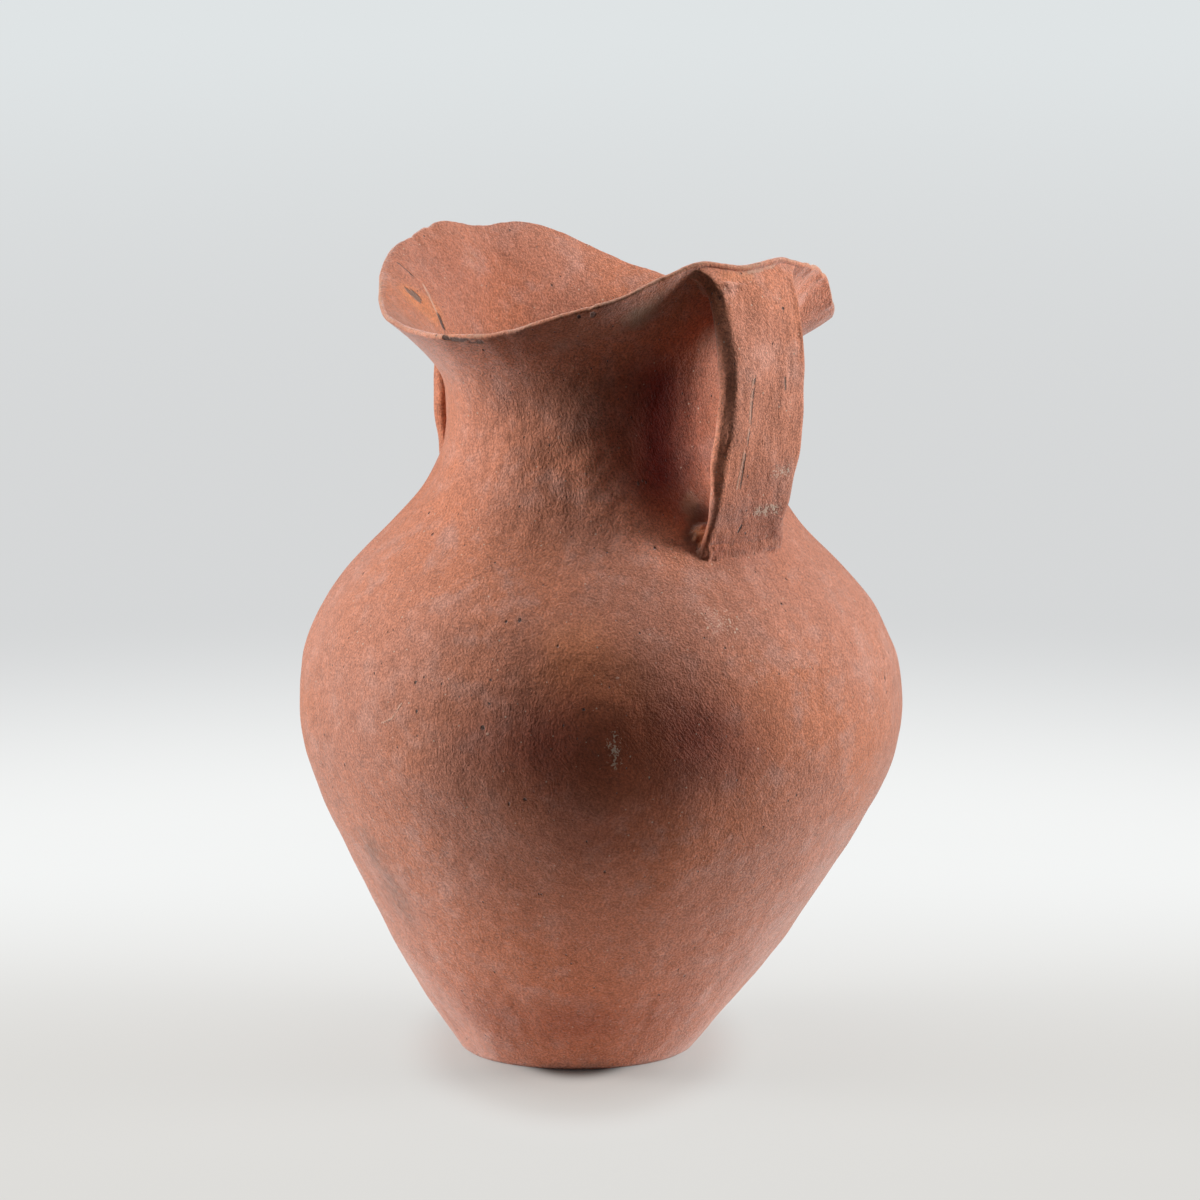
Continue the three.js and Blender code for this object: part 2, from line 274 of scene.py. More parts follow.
@dataclass(frozen=True)
class WallForm:
    """The jar's wall: its outer line, its thickness, the saddle of its mouth and its lean."""

    base_radius: float = 0.042
    base_thickness: float = 0.009
    base_round: float = 0.0015
    belly_radius: float = 0.1105
    belly_height: float = 0.128
    lower_swell: float = 0.036
    shoulder_rise: float = 0.059
    neck_rise: float = 0.049
    neck_radius: float = 0.0575
    flare_rise: float = 0.018
    mouth_rise: float = 0.0342
    lip_radius: float = 0.081
    lip_thickness: float = 0.0021
    wall: float = 0.0065
    crest_half_angle: float = 11.4
    dip_angle: float = 71.0
    lean_azimuth: float = 49.0
    mouth_lean: float = 0.009
    belly_sag: float = 0.0048
    steps: int = 300
    lip_zone: float = 0.45
    lip_inside: Zone = (0.045, 0.06)
    nick_zone: float = 0.93
    wave_radius: float = 0.08
    calm_foot: float = 0.012
    bumps: tuple[tuple[Waves, float], ...] = (
        (Waves(3, 0.060), 0.40 * MM),
        (Waves(4, 0.024), 0.16 * MM),
        (Waves(5, 0.010), 0.05 * MM),
    )
    facets: Waves = Waves(8, 0.022, (1.0, 1.0, 4.0))
    facet_depth: float = 0.12 * MM
    lip_waves: tuple[tuple[Waves, float], ...] = (
        (Waves(6, 0.020), 0.12 * MM),
        (Waves(7, 0.008), 0.06 * MM),
        (Waves(9, 0.0035), 0.03 * MM),
    )

    @property
    def shoulder_height(self) -> float:
        """Height at which the shoulder turns into the neck."""
        return self.belly_height + self.shoulder_rise

    @property
    def neck_height(self) -> float:
        """Height of the neck's narrowest place."""
        return self.shoulder_height + self.neck_rise

    @property
    def lip_height(self) -> float:
        """Height of the lip midway between the handles."""
        return self.neck_height + self.mouth_rise

    @cached_property
    def curves(self) -> list[Array]:
        """The outer line from base to lip as three curves of (radius, height)."""
        base = (self.base_radius, 0.0)
        swell = (self.belly_radius, self.belly_height - self.lower_swell)
        belly = (self.belly_radius, self.belly_height)
        over = (self.belly_radius, self.shoulder_height)
        under = (self.neck_radius, self.shoulder_height)
        neck = (self.neck_radius, self.neck_height)
        flare = (self.neck_radius, self.neck_height + self.flare_rise)
        lip = (self.lip_radius, self.lip_height)
        outlines = ([base, swell, belly], [belly, over, under, neck], [neck, flare, lip])
        return [bezier(points, self.steps) for points in outlines]

    @cached_property
    def line(self) -> Array:
        """Rows of (length, radius, height, slope in radius, slope in height) along the outer line."""
        points = np.concatenate([self.curves[0], self.curves[1][1:], self.curves[2][1:]])
        paces = np.linalg.norm(np.diff(points, axis=0), axis=1)
        lengths = np.concatenate([[0.0], np.cumsum(paces)])
        slopes = np.gradient(points, lengths, axis=0)
        slopes /= np.linalg.norm(slopes, axis=1, keepdims=True)
        return np.column_stack([lengths, points, slopes])

    @property
    def seams(self) -> tuple[float, float, float]:
        """Lengths at which the lower wall, the shoulder and the mouth end."""
        lengths = self.line[:, 0]
        return lengths[self.steps], lengths[2 * self.steps], lengths[-1]

    def length_at(self, height: float) -> float:
        """The length along the outer line at a height."""
        return float(np.interp(height, self.line[:, 2], self.line[:, 0]))

    def section(self, lengths: Array, inner: bool) -> tuple[Array, Array]:
        """Radii and heights of the wall's outer or inner face.

        Args:
            lengths: Lengths along the outer line; a length past either end runs straight on.
            inner: Whether the inner face is meant.

        Returns:
            Radii and heights, before the saddle and the lean.
        """
        _, radius, height, slope_r, slope_h = (
            np.interp(lengths, self.line[:, 0], self.line[:, column]) for column in range(5))
        over = lengths - np.clip(lengths, 0.0, self.line[-1, 0])
        radius = radius + over * slope_r
        height = height + over * slope_h
        depth = self.thickness(lengths) if inner else 0.0
        return radius - depth * slope_h, height + depth * slope_r

    def thickness(self, lengths: Array) -> Array:
        """The wall's thickness, which falls off from the neck to the lip."""
        return np.interp(lengths, self.seams[1:], [self.wall, self.lip_thickness])

    def lip_rise(self, azimuth: Array) -> Array:
        """How far the lip climbs at an azimuth."""
        rises = [site.rise * (1.0 - smoothstep(angle_between(azimuth, site.crest),
                                               self.crest_half_angle, self.dip_angle))
                 for site in SITES.values()]
        return np.maximum(*rises)

    def uneven(self, azimuth: Array, height: Array) -> Array:
        """How far the wall stands out of its true line at an azimuth and an unraised height."""
        azimuth, height = np.broadcast_arrays(azimuth, height)
        angle = np.radians(azimuth)
        around = self.wave_radius
        places = np.stack([np.cos(angle) * around, np.sin(angle) * around, height], axis=-1)
        out = sum(size * waves.at(places) for waves, size in self.bumps)
        below_neck = 1.0 - smoothstep(height, self.shoulder_height, self.neck_height)
        out = out + self.facet_depth * self.facets.at(places) * below_neck
        for dent in DENTS:
            across = np.radians(angle_between(azimuth, dent.azimuth)) * self.section_radius(dent.height)
            away = np.hypot(across / dent.spread, (height - dent.height) / dent.reach)
            out = out - dent.depth * np.exp(-away * away)
        return out * smoothstep(height, 0.0, self.calm_foot)

    def section_radius(self, height: float) -> float:
        """The outer line's radius at a height."""
        return float(np.interp(height, self.line[:, 2], self.line[:, 1]))

    def share_up(self, azimuth: Array, height: Array) -> Array:
        """How far a raised height lies up the mouth: 0 at the neck and 1 at the lip."""
        return (height - self.neck_height) / (self.mouth_rise + self.lip_rise(azimuth))

    def raise_saddle(self, azimuth: Array, level: Array) -> Array:
        """How far the wall is raised towards the handles, where its outside has a level."""
        share = np.maximum((level - self.neck_height) / self.mouth_rise, 0.0)
        return share * self.lip_rise(azimuth)

    def lower_saddle(self, azimuth: Array, height: Array) -> Array:
        """Heights from before the saddle was raised."""
        share = self.share_up(azimuth, height)
        return np.where(share > 0.0, self.neck_height + share * self.mouth_rise, height)

    def settle(self, points: Array) -> Array:
        """Pulls the lip about as its maker's fingers did and leans the jar over.

        Args:
            points: Points of a true jar with its saddle, as an array that ends in three columns.

        Returns:
            The points of the finished jar.
        """
        x, y, z = np.moveaxis(points, -1, 0)
        azimuth = np.degrees(np.arctan2(y, x))
        radius = np.hypot(x, y)
        share = self.share_up(azimuth, z)
        near = smoothstep(share, self.lip_zone, 1.0) * smoothstep(radius, *self.lip_inside)
        around = self.wave_radius
        rim = np.stack([x / radius * around, y / radius * around, np.zeros_like(z)], axis=-1)
        lift = sum(size * waves.at(rim) for waves, size in self.lip_waves)
        places, lifts, pushes = np.array([(knot.azimuth, knot.lift, knot.push) for knot in LIP_KNOTS]).T
        lift = lift + round_curve(azimuth, places, lifts)
        push = round_curve(azimuth, places, pushes)
        nick = sum(nick.depth * np.exp(-(angle_between(azimuth, nick.azimuth) / nick.half_angle) ** 2)
                   for nick in LIP_NICKS)
        z = z + near * lift - smoothstep(share, self.nick_zone, 1.0) * near * nick
        grow = 1.0 + near * push / radius
        sag = np.sin(math.pi * np.clip(z, 0.0, self.shoulder_height) / self.shoulder_height)
        shift = self.mouth_lean * z / self.lip_height + self.belly_sag * sag
        lean = math.radians(self.lean_azimuth)
        x = x * grow + shift * math.cos(lean)
        y = y * grow + shift * math.sin(lean)
        return np.stack([x, y, z], axis=-1)


class WearAndLight(Enum):
    """Colour masks kept on the vertices. Most hold the clay's own wear and dirt; PALE is painted light
    throughout; SOOT is painted shade on the belly, the front of the base, the neck behind the strap and
    the inside of the left lip, and darker clay along the strap foot's joint; DUST holds dusty patches,
    with painted light under the lip and on the right lobe and a painted highlight along the rim.
    """

    BARE = "bare"
    DUST = "dust"
    GRIME = "grime"
    FLAKE = "flake"
    PALE = "pale"
    SOOT = "dark_joint_and_painted_shade"


@dataclass(frozen=True)
class WearAndLightMark:
    """A patch along a line between two places on the jar: wear, painted light or painted shade, by its
    kind.
    """

    wear: WearAndLight
    start: Place
    end: Place
    reach: float
    strength: float = 1.0
    inside: bool = False

    def at(self, points: Array) -> Array:
        """The patch's strength at points."""
        start = np.array(self.start)
        along = np.array(self.end) - start
        share = np.clip((points - start) @ along / max(along @ along, 1e-12), 0.0, 1.0)
        away = np.linalg.norm(points - start - share[..., None] * along, axis=-1) / self.reach
        return self.strength * np.exp(-away * away)


# Marks of wear, painted light and painted shade on the inside of the left lip, under the lip, on the
# wall, and on the right strap
WEAR_AND_LIGHT_MARKS = (
    WearAndLightMark(WearAndLight.BARE, (-0.0461, -0.0400, 0.2758), (-0.0453, -0.0304, 0.2709), 0.008, 1.0, True),
    WearAndLightMark(WearAndLight.FLAKE, (0.0925, -0.0630, 0.1350), (0.0930, -0.0620, 0.1255), 0.0030, 0.60),
    WearAndLightMark(WearAndLight.FLAKE, (0.0971, -0.0196, 0.1726), (0.0985, -0.0150, 0.1700), 0.0090, 0.40),
    WearAndLightMark(WearAndLight.GRIME, (-0.0085, -0.0898, 0.0839), (-0.0055, -0.0795, 0.0628), 0.0140, 0.52),
    WearAndLightMark(WearAndLight.DUST, (0.0690, -0.0030, 0.2110), (0.0697, -0.0067, 0.2060), 0.0055, 0.62),
    WearAndLightMark(WearAndLight.BARE, (0.0776, -0.0094, 0.2010), (0.0770, -0.0080, 0.1980), 0.0050, 0.80),
    WearAndLightMark(WearAndLight.GRIME, (0.0699, -0.0017, 0.2067), (0.0745, -0.0110, 0.1975), 0.0050, 0.72),
    WearAndLightMark(WearAndLight.DUST, (0.0708, 0.0017, 0.2701), (0.0700, 0.0005, 0.2650), 0.0060, 0.50),
    # Paler, greyer patches under the lip by the strap: partly dusty clay and partly painted light.
    WearAndLightMark(WearAndLight.DUST, (0.0493, -0.0499, 0.2683), (0.0688, -0.0299, 0.2801), 0.0080, 0.36),
    WearAndLightMark(WearAndLight.DUST, (0.0688, -0.0299, 0.2801), (0.0773, -0.0186, 0.2871), 0.0080, 0.36),
    WearAndLightMark(WearAndLight.BARE, (0.0904, -0.0076, 0.2939), (0.0908, 0.0040, 0.2933), 0.0040, 0.90),
    WearAndLightMark(WearAndLight.FLAKE, (0.0865, 0.0097, 0.2081), (0.0865, 0.0185, 0.2081), 0.0032, 0.70),
    WearAndLightMark(WearAndLight.FLAKE, (0.0911, 0.0138, 0.2215), (0.0913, 0.0200, 0.2218), 0.0034, 0.56),
    # Darker clay along the joint under the strap's foot.
    WearAndLightMark(WearAndLight.SOOT, (0.0800, -0.0120, 0.1955), (0.0834, -0.0046, 0.1945), 0.0036, 0.22),
    WearAndLightMark(WearAndLight.SOOT, (0.0834, -0.0046, 0.1945), (0.0838, 0.0070, 0.1932), 0.0034, 0.20),
    WearAndLightMark(WearAndLight.GRIME, (0.0800, -0.0115, 0.1945), (0.0838, 0.0070, 0.1925), 0.0022, 0.46),
    # Painted light: these pale marks brighten the strap's side and outer faces, the right lobe, the neck
    # under the lip and the neck's shaded side by the strap.
    WearAndLightMark(WearAndLight.PALE, (0.0895, -0.0125, 0.2650), (0.0892, -0.0120, 0.2130), 0.0042, 0.70),
    WearAndLightMark(WearAndLight.PALE, (0.1050, 0.0040, 0.2850), (0.1000, 0.0060, 0.2300), 0.0240, 0.25),
    WearAndLightMark(WearAndLight.PALE, (0.0680, 0.0550, 0.2800), (0.0700, 0.0480, 0.2840), 0.0180, 0.78),
    # Greyer, paler clay on the right lobe: partly dusty clay and partly painted light.
    WearAndLightMark(WearAndLight.DUST, (0.0660, 0.0555, 0.2780), (0.0700, 0.0500, 0.2840), 0.0150, 0.36),
    WearAndLightMark(WearAndLight.PALE, (0.0100, -0.0700, 0.2640), (0.0560, -0.0380, 0.2660), 0.0150, 0.60),
    WearAndLightMark(WearAndLight.PALE, (-0.0100, -0.0530, 0.2450), (0.0100, -0.0550, 0.2150), 0.0220, 0.17),
    WearAndLightMark(WearAndLight.PALE, (0.0490, -0.0345, 0.2220), (0.0660, -0.0230, 0.2030), 0.0130, 0.95),
    WearAndLightMark(WearAndLight.PALE, (0.0510, -0.0300, 0.2400), (0.0530, -0.0290, 0.2250), 0.0085, 0.55),
    # Painted shade on the neck behind the strap, where the strap and the lip shade it.
    WearAndLightMark(WearAndLight.SOOT, (0.0605, -0.0140, 0.2530), (0.0600, -0.0135, 0.2200), 0.0130, 1.00),
    WearAndLightMark(WearAndLight.SOOT, (0.0623, 0.0050, 0.2420), (0.0630, 0.0040, 0.2240), 0.0100, 0.27),
    WearAndLightMark(WearAndLight.BARE, (0.0800, -0.0680, 0.1600), (0.0930, -0.0600, 0.1300), 0.0300, 0.70),
    # Painted shade: the dark middle of the belly and the dark front of the base, where the side lamps
    # light little.
    WearAndLightMark(WearAndLight.SOOT, (0.0850, -0.0720, 0.1380), (0.1010, -0.0470, 0.1320), 0.0270, 0.62),
    WearAndLightMark(WearAndLight.SOOT, (0.0560, -0.0920, 0.1310), (0.0700, -0.0820, 0.1300), 0.0130, 0.26),
    WearAndLightMark(WearAndLight.SOOT, (0.1090, -0.0310, 0.1350), (0.1125, -0.0200, 0.1270), 0.0130, 0.28),
    WearAndLightMark(WearAndLight.SOOT, (0.0120, -0.0570, 0.0220), (0.0450, -0.0375, 0.0200), 0.0140, 0.24),
    WearAndLightMark(WearAndLight.SOOT, (0.0450, -0.0375, 0.0200), (0.0600, -0.0120, 0.0220), 0.0140, 0.20),
    # Painted light on the neck under the lip, beside the strap.
    WearAndLightMark(WearAndLight.PALE, (0.0640, -0.0200, 0.2640), (0.0700, -0.0060, 0.2700), 0.0090, 0.37),
    # Painted shade low on the belly, and a darker patch on the strap's lower end.
    WearAndLightMark(WearAndLight.SOOT, (0.0850, -0.0640, 0.1080), (0.0845, -0.0620, 0.0980), 0.0210, 0.19),
    WearAndLightMark(WearAndLight.SOOT, (0.0870, 0.0040, 0.2080), (0.0850, 0.0100, 0.2020), 0.0160, 0.20),
    # Painted shade, with paler dusty clay, on the inside of the left lip.
    WearAndLightMark(WearAndLight.SOOT, (-0.0610, 0.0120, 0.2810), (-0.0600, -0.0220, 0.2850), 0.0200, 0.18, True),
    WearAndLightMark(WearAndLight.DUST, (-0.0610, 0.0120, 0.2810), (-0.0600, -0.0220, 0.2850), 0.0200, 0.22, True),
)


class Fine(Enum):
    """Marks that are too fine for the mesh."""

    CRACK = "crack"
    CHIP = "chip"
    SCRAPE = "scrape"


@dataclass(frozen=True)
class FineMark:
    """A thin mark through places, each an azimuth in degrees, a height and a radius in millimetres."""

    kind: Fine
    reach: float
    places: tuple[Place, ...]
    inside: bool = False


# Marks inside the left lip, under the lip, on the wall, on the neck and on the right strap
FINE_MARKS = (
    FineMark(Fine.CRACK, 0.5, ((-147.5, 288.0, 70.0), (-149.0, 283.0, 64.0)), True),
    FineMark(Fine.CHIP, 2.1, ((-140.2, 278.5, 63.0), (-141.6, 275.7, 59.0)), True),
    FineMark(Fine.CHIP, 1.8, ((-142.2, 277.8, 62.0), (-142.9, 276.2, 60.0)), True),
    FineMark(Fine.SCRAPE, 1.2, ((-151.0, 279.5, 60.0), (-148.5, 269.0, 53.0)), True),
    FineMark(Fine.CRACK, 2.1, ((-149.0, 268.5, 53.0), (-148.0, 265.5, 51.0)), True),
    FineMark(Fine.CRACK, 1.1, ((-78.5, 269.8, 74.0), (-77.0, 269.5, 74.0))),
    FineMark(Fine.CHIP, 1.2, ((-76.0, 269.3, 73.5), (-71.0, 269.1, 73.5), (-67.0, 269.0, 74.0))),
    FineMark(Fine.CRACK, 1.0, ((-40.0, 279.2, 79.0),)),
    FineMark(Fine.CHIP, 1.5, ((-36.5, 279.8, 78.5),)),
    FineMark(Fine.CHIP, 0.8, ((-20.2, 217.3, 62.5),)),
    FineMark(Fine.CHIP, 0.7, ((-18.6, 218.2, 62.8),)),
    FineMark(Fine.CRACK, 0.6, ((-17.4, 217.6, 63.0),)),
    FineMark(Fine.CRACK, 0.7, ((-53.0, 173.5, 93.5),)),
    FineMark(Fine.CRACK, 0.9, ((-58.5, 137.0, 107.5),)),
    FineMark(Fine.SCRAPE, 0.7, ((-57.5, 135.0, 107.5),)),
    FineMark(Fine.CRACK, 0.7, ((-50.5, 112.0, 106.5),)),
    FineMark(Fine.CRACK, 0.5, ((-57.5, 153.5, 104.0),)),
    FineMark(Fine.CRACK, 0.5, ((-57.5, 145.5, 106.0),)),
    FineMark(Fine.CRACK, 0.6, ((-39.5, 144.5, 109.0),)),
    FineMark(Fine.CRACK, 0.6, ((-74.0, 150.5, 103.0),)),
    FineMark(Fine.CRACK, 0.6, ((-73.0, 140.5, 105.0),)),
    FineMark(Fine.SCRAPE, 0.45, ((-82.0, 134.5, 105.0), (-79.0, 137.0, 105.0), (-77.0, 142.5, 104.5))),
    FineMark(Fine.SCRAPE, 0.8, ((-47.0, 233.5, 56.0),)),
    FineMark(Fine.SCRAPE, 0.7, ((-37.5, 221.0, 59.5),)),
    FineMark(Fine.SCRAPE, 0.6, ((-33.0, 155.0, 106.5),)),
    FineMark(Fine.CHIP, 0.5, ((8.5, 255.5, 97.0), (8.6, 251.5, 97.0))),
    FineMark(Fine.CRACK, 0.7, ((2.5, 202.5, 84.0), (2.0, 200.5, 83.0))),
    FineMark(Fine.CRACK, 0.7, ((4.5, 199.5, 82.5),)),
    FineMark(Fine.CRACK, 0.6, ((9.5, 280.0, 96.0),)),
    FineMark(Fine.CHIP, 0.42,
             ((0.0, 257.5, 96.0), (-0.5, 242.0, 95.0), (-1.0, 226.0, 92.0), (-1.0, 217.0, 90.0))),
    FineMark(Fine.SCRAPE, 0.5,
             ((-0.5, 257.5, 96.0), (-1.0, 242.0, 95.0), (-1.5, 226.0, 92.0), (-2.0, 217.0, 90.0))),
    FineMark(Fine.SCRAPE, 1.0, ((3.0, 293.0, 91.0), (12.0, 294.5, 92.5))),
)


@dataclass
class Piece:
    """One visible piece of clay and the solid that it stands for."""

    node: str
    slot: str
    points: Array
    faces: list
    normals: Union[Array, None] = None
    wear: dict[WearAndLight, Array] = field(default_factory=dict)
    facing_ease: float = 0.3

    def make(self, material: bpy.types.Material) -> bpy.types.Object:
        """Makes the mesh, dresses it, hangs it from the root and hides the solid that it stands for.

        Args:
            material: The finish of the whole piece.

        Returns:
            The new object.
        """
        mesh = bpy.data.meshes.new(self.node + "_skin")
        mesh.from_pydata(self.points.tolist(), [], self.faces)
        mesh.validate()
        mesh.polygons.foreach_set("use_smooth", [True] * len(mesh.polygons))
        if self.normals is not None:
            mesh.normals_split_custom_set_from_vertices(self.normals.tolist())
        facing = self.facing()
        for wear in WearAndLight:
            mask = self.wear.get(wear, np.zeros(len(self.points)))
            mask = mask + sum(mark.at(self.points) * (1.0 - facing if mark.inside else facing)
                              for mark in WEAR_AND_LIGHT_MARKS if mark.wear is wear)
            layer = mesh.attributes.new(wear.value, "FLOAT", "POINT")
            layer.data.foreach_set("value", np.clip(mask, 0.0, 1.0).astype(np.float32))
        mesh.materials.append(material)
        piece = bpy.data.objects.new(self.node + "_skin", mesh)
        bpy.context.scene.collection.objects.link(piece)
        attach(piece, "root")
        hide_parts(self.node)
        LOG.info("%s: %d faces", piece.name, len(mesh.polygons))
        return piece

    def facing(self) -> Array:
        """1 where the surface looks away from the jar's axis and 0 where it looks toward it."""
        if self.normals is None:
            return np.ones(len(self.points))
        flat = self.points[:, :2]
        away = np.maximum(np.linalg.norm(flat, axis=1), 1e-6)
        outward = (self.normals[:, :2] * flat).sum(axis=1) / away
        return smoothstep(outward, -self.facing_ease, self.facing_ease)


class Socket:
    """An output of a shader node, with arithmetic that adds Math nodes."""

    def __init__(self, bench: "Bench", output: bpy.types.NodeSocket) -> None:
        """Wraps an output that belongs to a bench's node tree."""
        self.bench = bench
        self.output = output

    def __add__(self, other: Value) -> "Socket":
        """This plus other."""
        return self.bench.math("ADD", self, other)

    def __radd__(self, other: Value) -> "Socket":
        """Other plus this."""
        return self.bench.math("ADD", other, self)

    def __sub__(self, other: Value) -> "Socket":
        """This less other."""
        return self.bench.math("SUBTRACT", self, other)

    def __rsub__(self, other: Value) -> "Socket":
        """Other less this."""
        return self.bench.math("SUBTRACT", other, self)

    def __mul__(self, other: Value) -> "Socket":
        """This times other."""
        return self.bench.math("MULTIPLY", self, other)

    def __rmul__(self, other: Value) -> "Socket":
        """Other times this."""
        return self.bench.math("MULTIPLY", other, self)

    def rise(self, low: float, high: float) -> "Socket":
        """Rises smoothly from 0 at low to 1 at high, or falls where high is the lower."""
        ends = (low, high, 0.0, 1.0) if low < high else (high, low, 1.0, 0.0)
        sockets = {"Value": self, **dict(enumerate(ends, start=1))}
        return self.bench.add("ShaderNodeMapRange", {"interpolation_type": "SMOOTHSTEP"}, sockets)

    def larger(self, other: Value) -> "Socket":
        """The larger of this and other."""
        return self.bench.math("MAXIMUM", self, other)


class Bench:
    """The node tree of one finish, where nodes are made and linked."""

    def __init__(self, tree: bpy.types.NodeTree) -> None:
        """Clears the tree for a fresh start."""
        self.tree = tree
        tree.nodes.clear()

    def add(self, kind: str, settings: dict[str, Any], sockets: dict[Any, Any],
            output: Any = 0) -> Socket:
        """Adds a node.

        Args:
            kind: The node's type.
            settings: Properties of the node, set first.
            sockets: Values or links of its inputs, by name or number.
            output: Which output is wanted, by name or number.

        Returns:
            The wanted output.
        """
        node = self.tree.nodes.new(kind)
        for name, value in settings.items():
            setattr(node, name, value)
        for key, value in sockets.items():
            if isinstance(value, Socket):
                self.tree.links.new(value.output, node.inputs[key])
            else:
                node.inputs[key].default_value = value
        if not node.outputs:
            return Socket(self, None)
        return Socket(self, node.outputs[output])

    def math(self, operation: str, first: Value, second: Value) -> Socket:
        """Adds a Math node for two values."""
        return self.add("ShaderNodeMath", {"operation": operation}, {0: first, 1: second})

    def blend(self, factor: Value, first: Any, second: Any) -> Socket:
        """Mixes two colours.

        Args:
            factor: 0 for the first colour and 1 for the second.
            first: A colour or a colour's socket.
            second: A colour or a colour's socket.

        Returns:
            The mixed colour.
        """
        first, second = (c if isinstance(c, Socket) else (*c, 1.0) for c in (first, second))
        sockets = {0: factor, 6: first, 7: second}
        return self.add("ShaderNodeMix", {"data_type": "RGBA"}, sockets, output=2)

    def scale(self, vector: Any, factor: Any) -> Socket:
        """Stretches a vector or a colour by one number or by three."""
        if isinstance(factor, tuple):
            return self.add("ShaderNodeVectorMath", {"operation": "MULTIPLY"}, {0: vector, 1: factor})
        return self.add("ShaderNodeVectorMath", {"operation": "SCALE"}, {0: vector, "Scale": factor})

    def noise(self, place: Socket, size: float, detail: float, roughness: float = 0.5) -> Socket:
        """Cloudy noise with spots of about a given size."""
        sockets = {"Vector": place, "Scale": 1.0 / size, "Detail": detail, "Roughness": roughness}
        return self.add("ShaderNodeTexNoise", {}, sockets)

    def vector(self, operation: str, first: Any, second: Any, output: Any = 0) -> Socket:
        """Adds a Vector Math node for two vectors."""
        return self.add("ShaderNodeVectorMath", {"operation": operation}, {0: first, 1: second}, output)

    def length(self, vector: Socket) -> Socket:
        """The length of a vector."""
        return self.add("ShaderNodeVectorMath", {"operation": "LENGTH"}, {0: vector}, output="Value")

    def stroke(self, place: Socket, start: Place, end: Place) -> Socket:
        """Distance of a place from a straight stroke.

        Args:
            place: The place.
            start: Where the stroke starts.
            end: Where it ends, which may be where it starts.

        Returns:
            The distance.
        """
        if start == end:
            return self.vector("DISTANCE", place, start, "Value")
        along = Vector(end) - Vector(start)
        away = self.vector("SUBTRACT", place, start)
        share = self.vector("DOT_PRODUCT", away, tuple(along / along.length_squared), "Value")
        share = self.add("ShaderNodeClamp", {}, {0: share})
        nearest = self.scale(tuple(along), share)
        return self.vector("DISTANCE", away, nearest, "Value")

    def attribute(self, wear: WearAndLight) -> Socket:
        """A mask of wear that the mesh carries."""
        return self.add("ShaderNodeAttribute", {"attribute_name": wear.value}, {}, output="Fac")


@dataclass(frozen=True)
class Layer:
    """How a mask becomes a layer's cover: between which values it rises, and the most it covers."""

    zone: Zone
    most: float = 1.0

    def cover(self, mask: Socket) -> Socket:
        """The layer's cover where a mask has its values."""
        return mask.rise(*self.zone) * self.most


@dataclass(frozen=True)
class Spots:
    """Scattered round spots: spacing, size as a share of it, and the share of places with one."""

    spacing: float
    size: float
    share: float


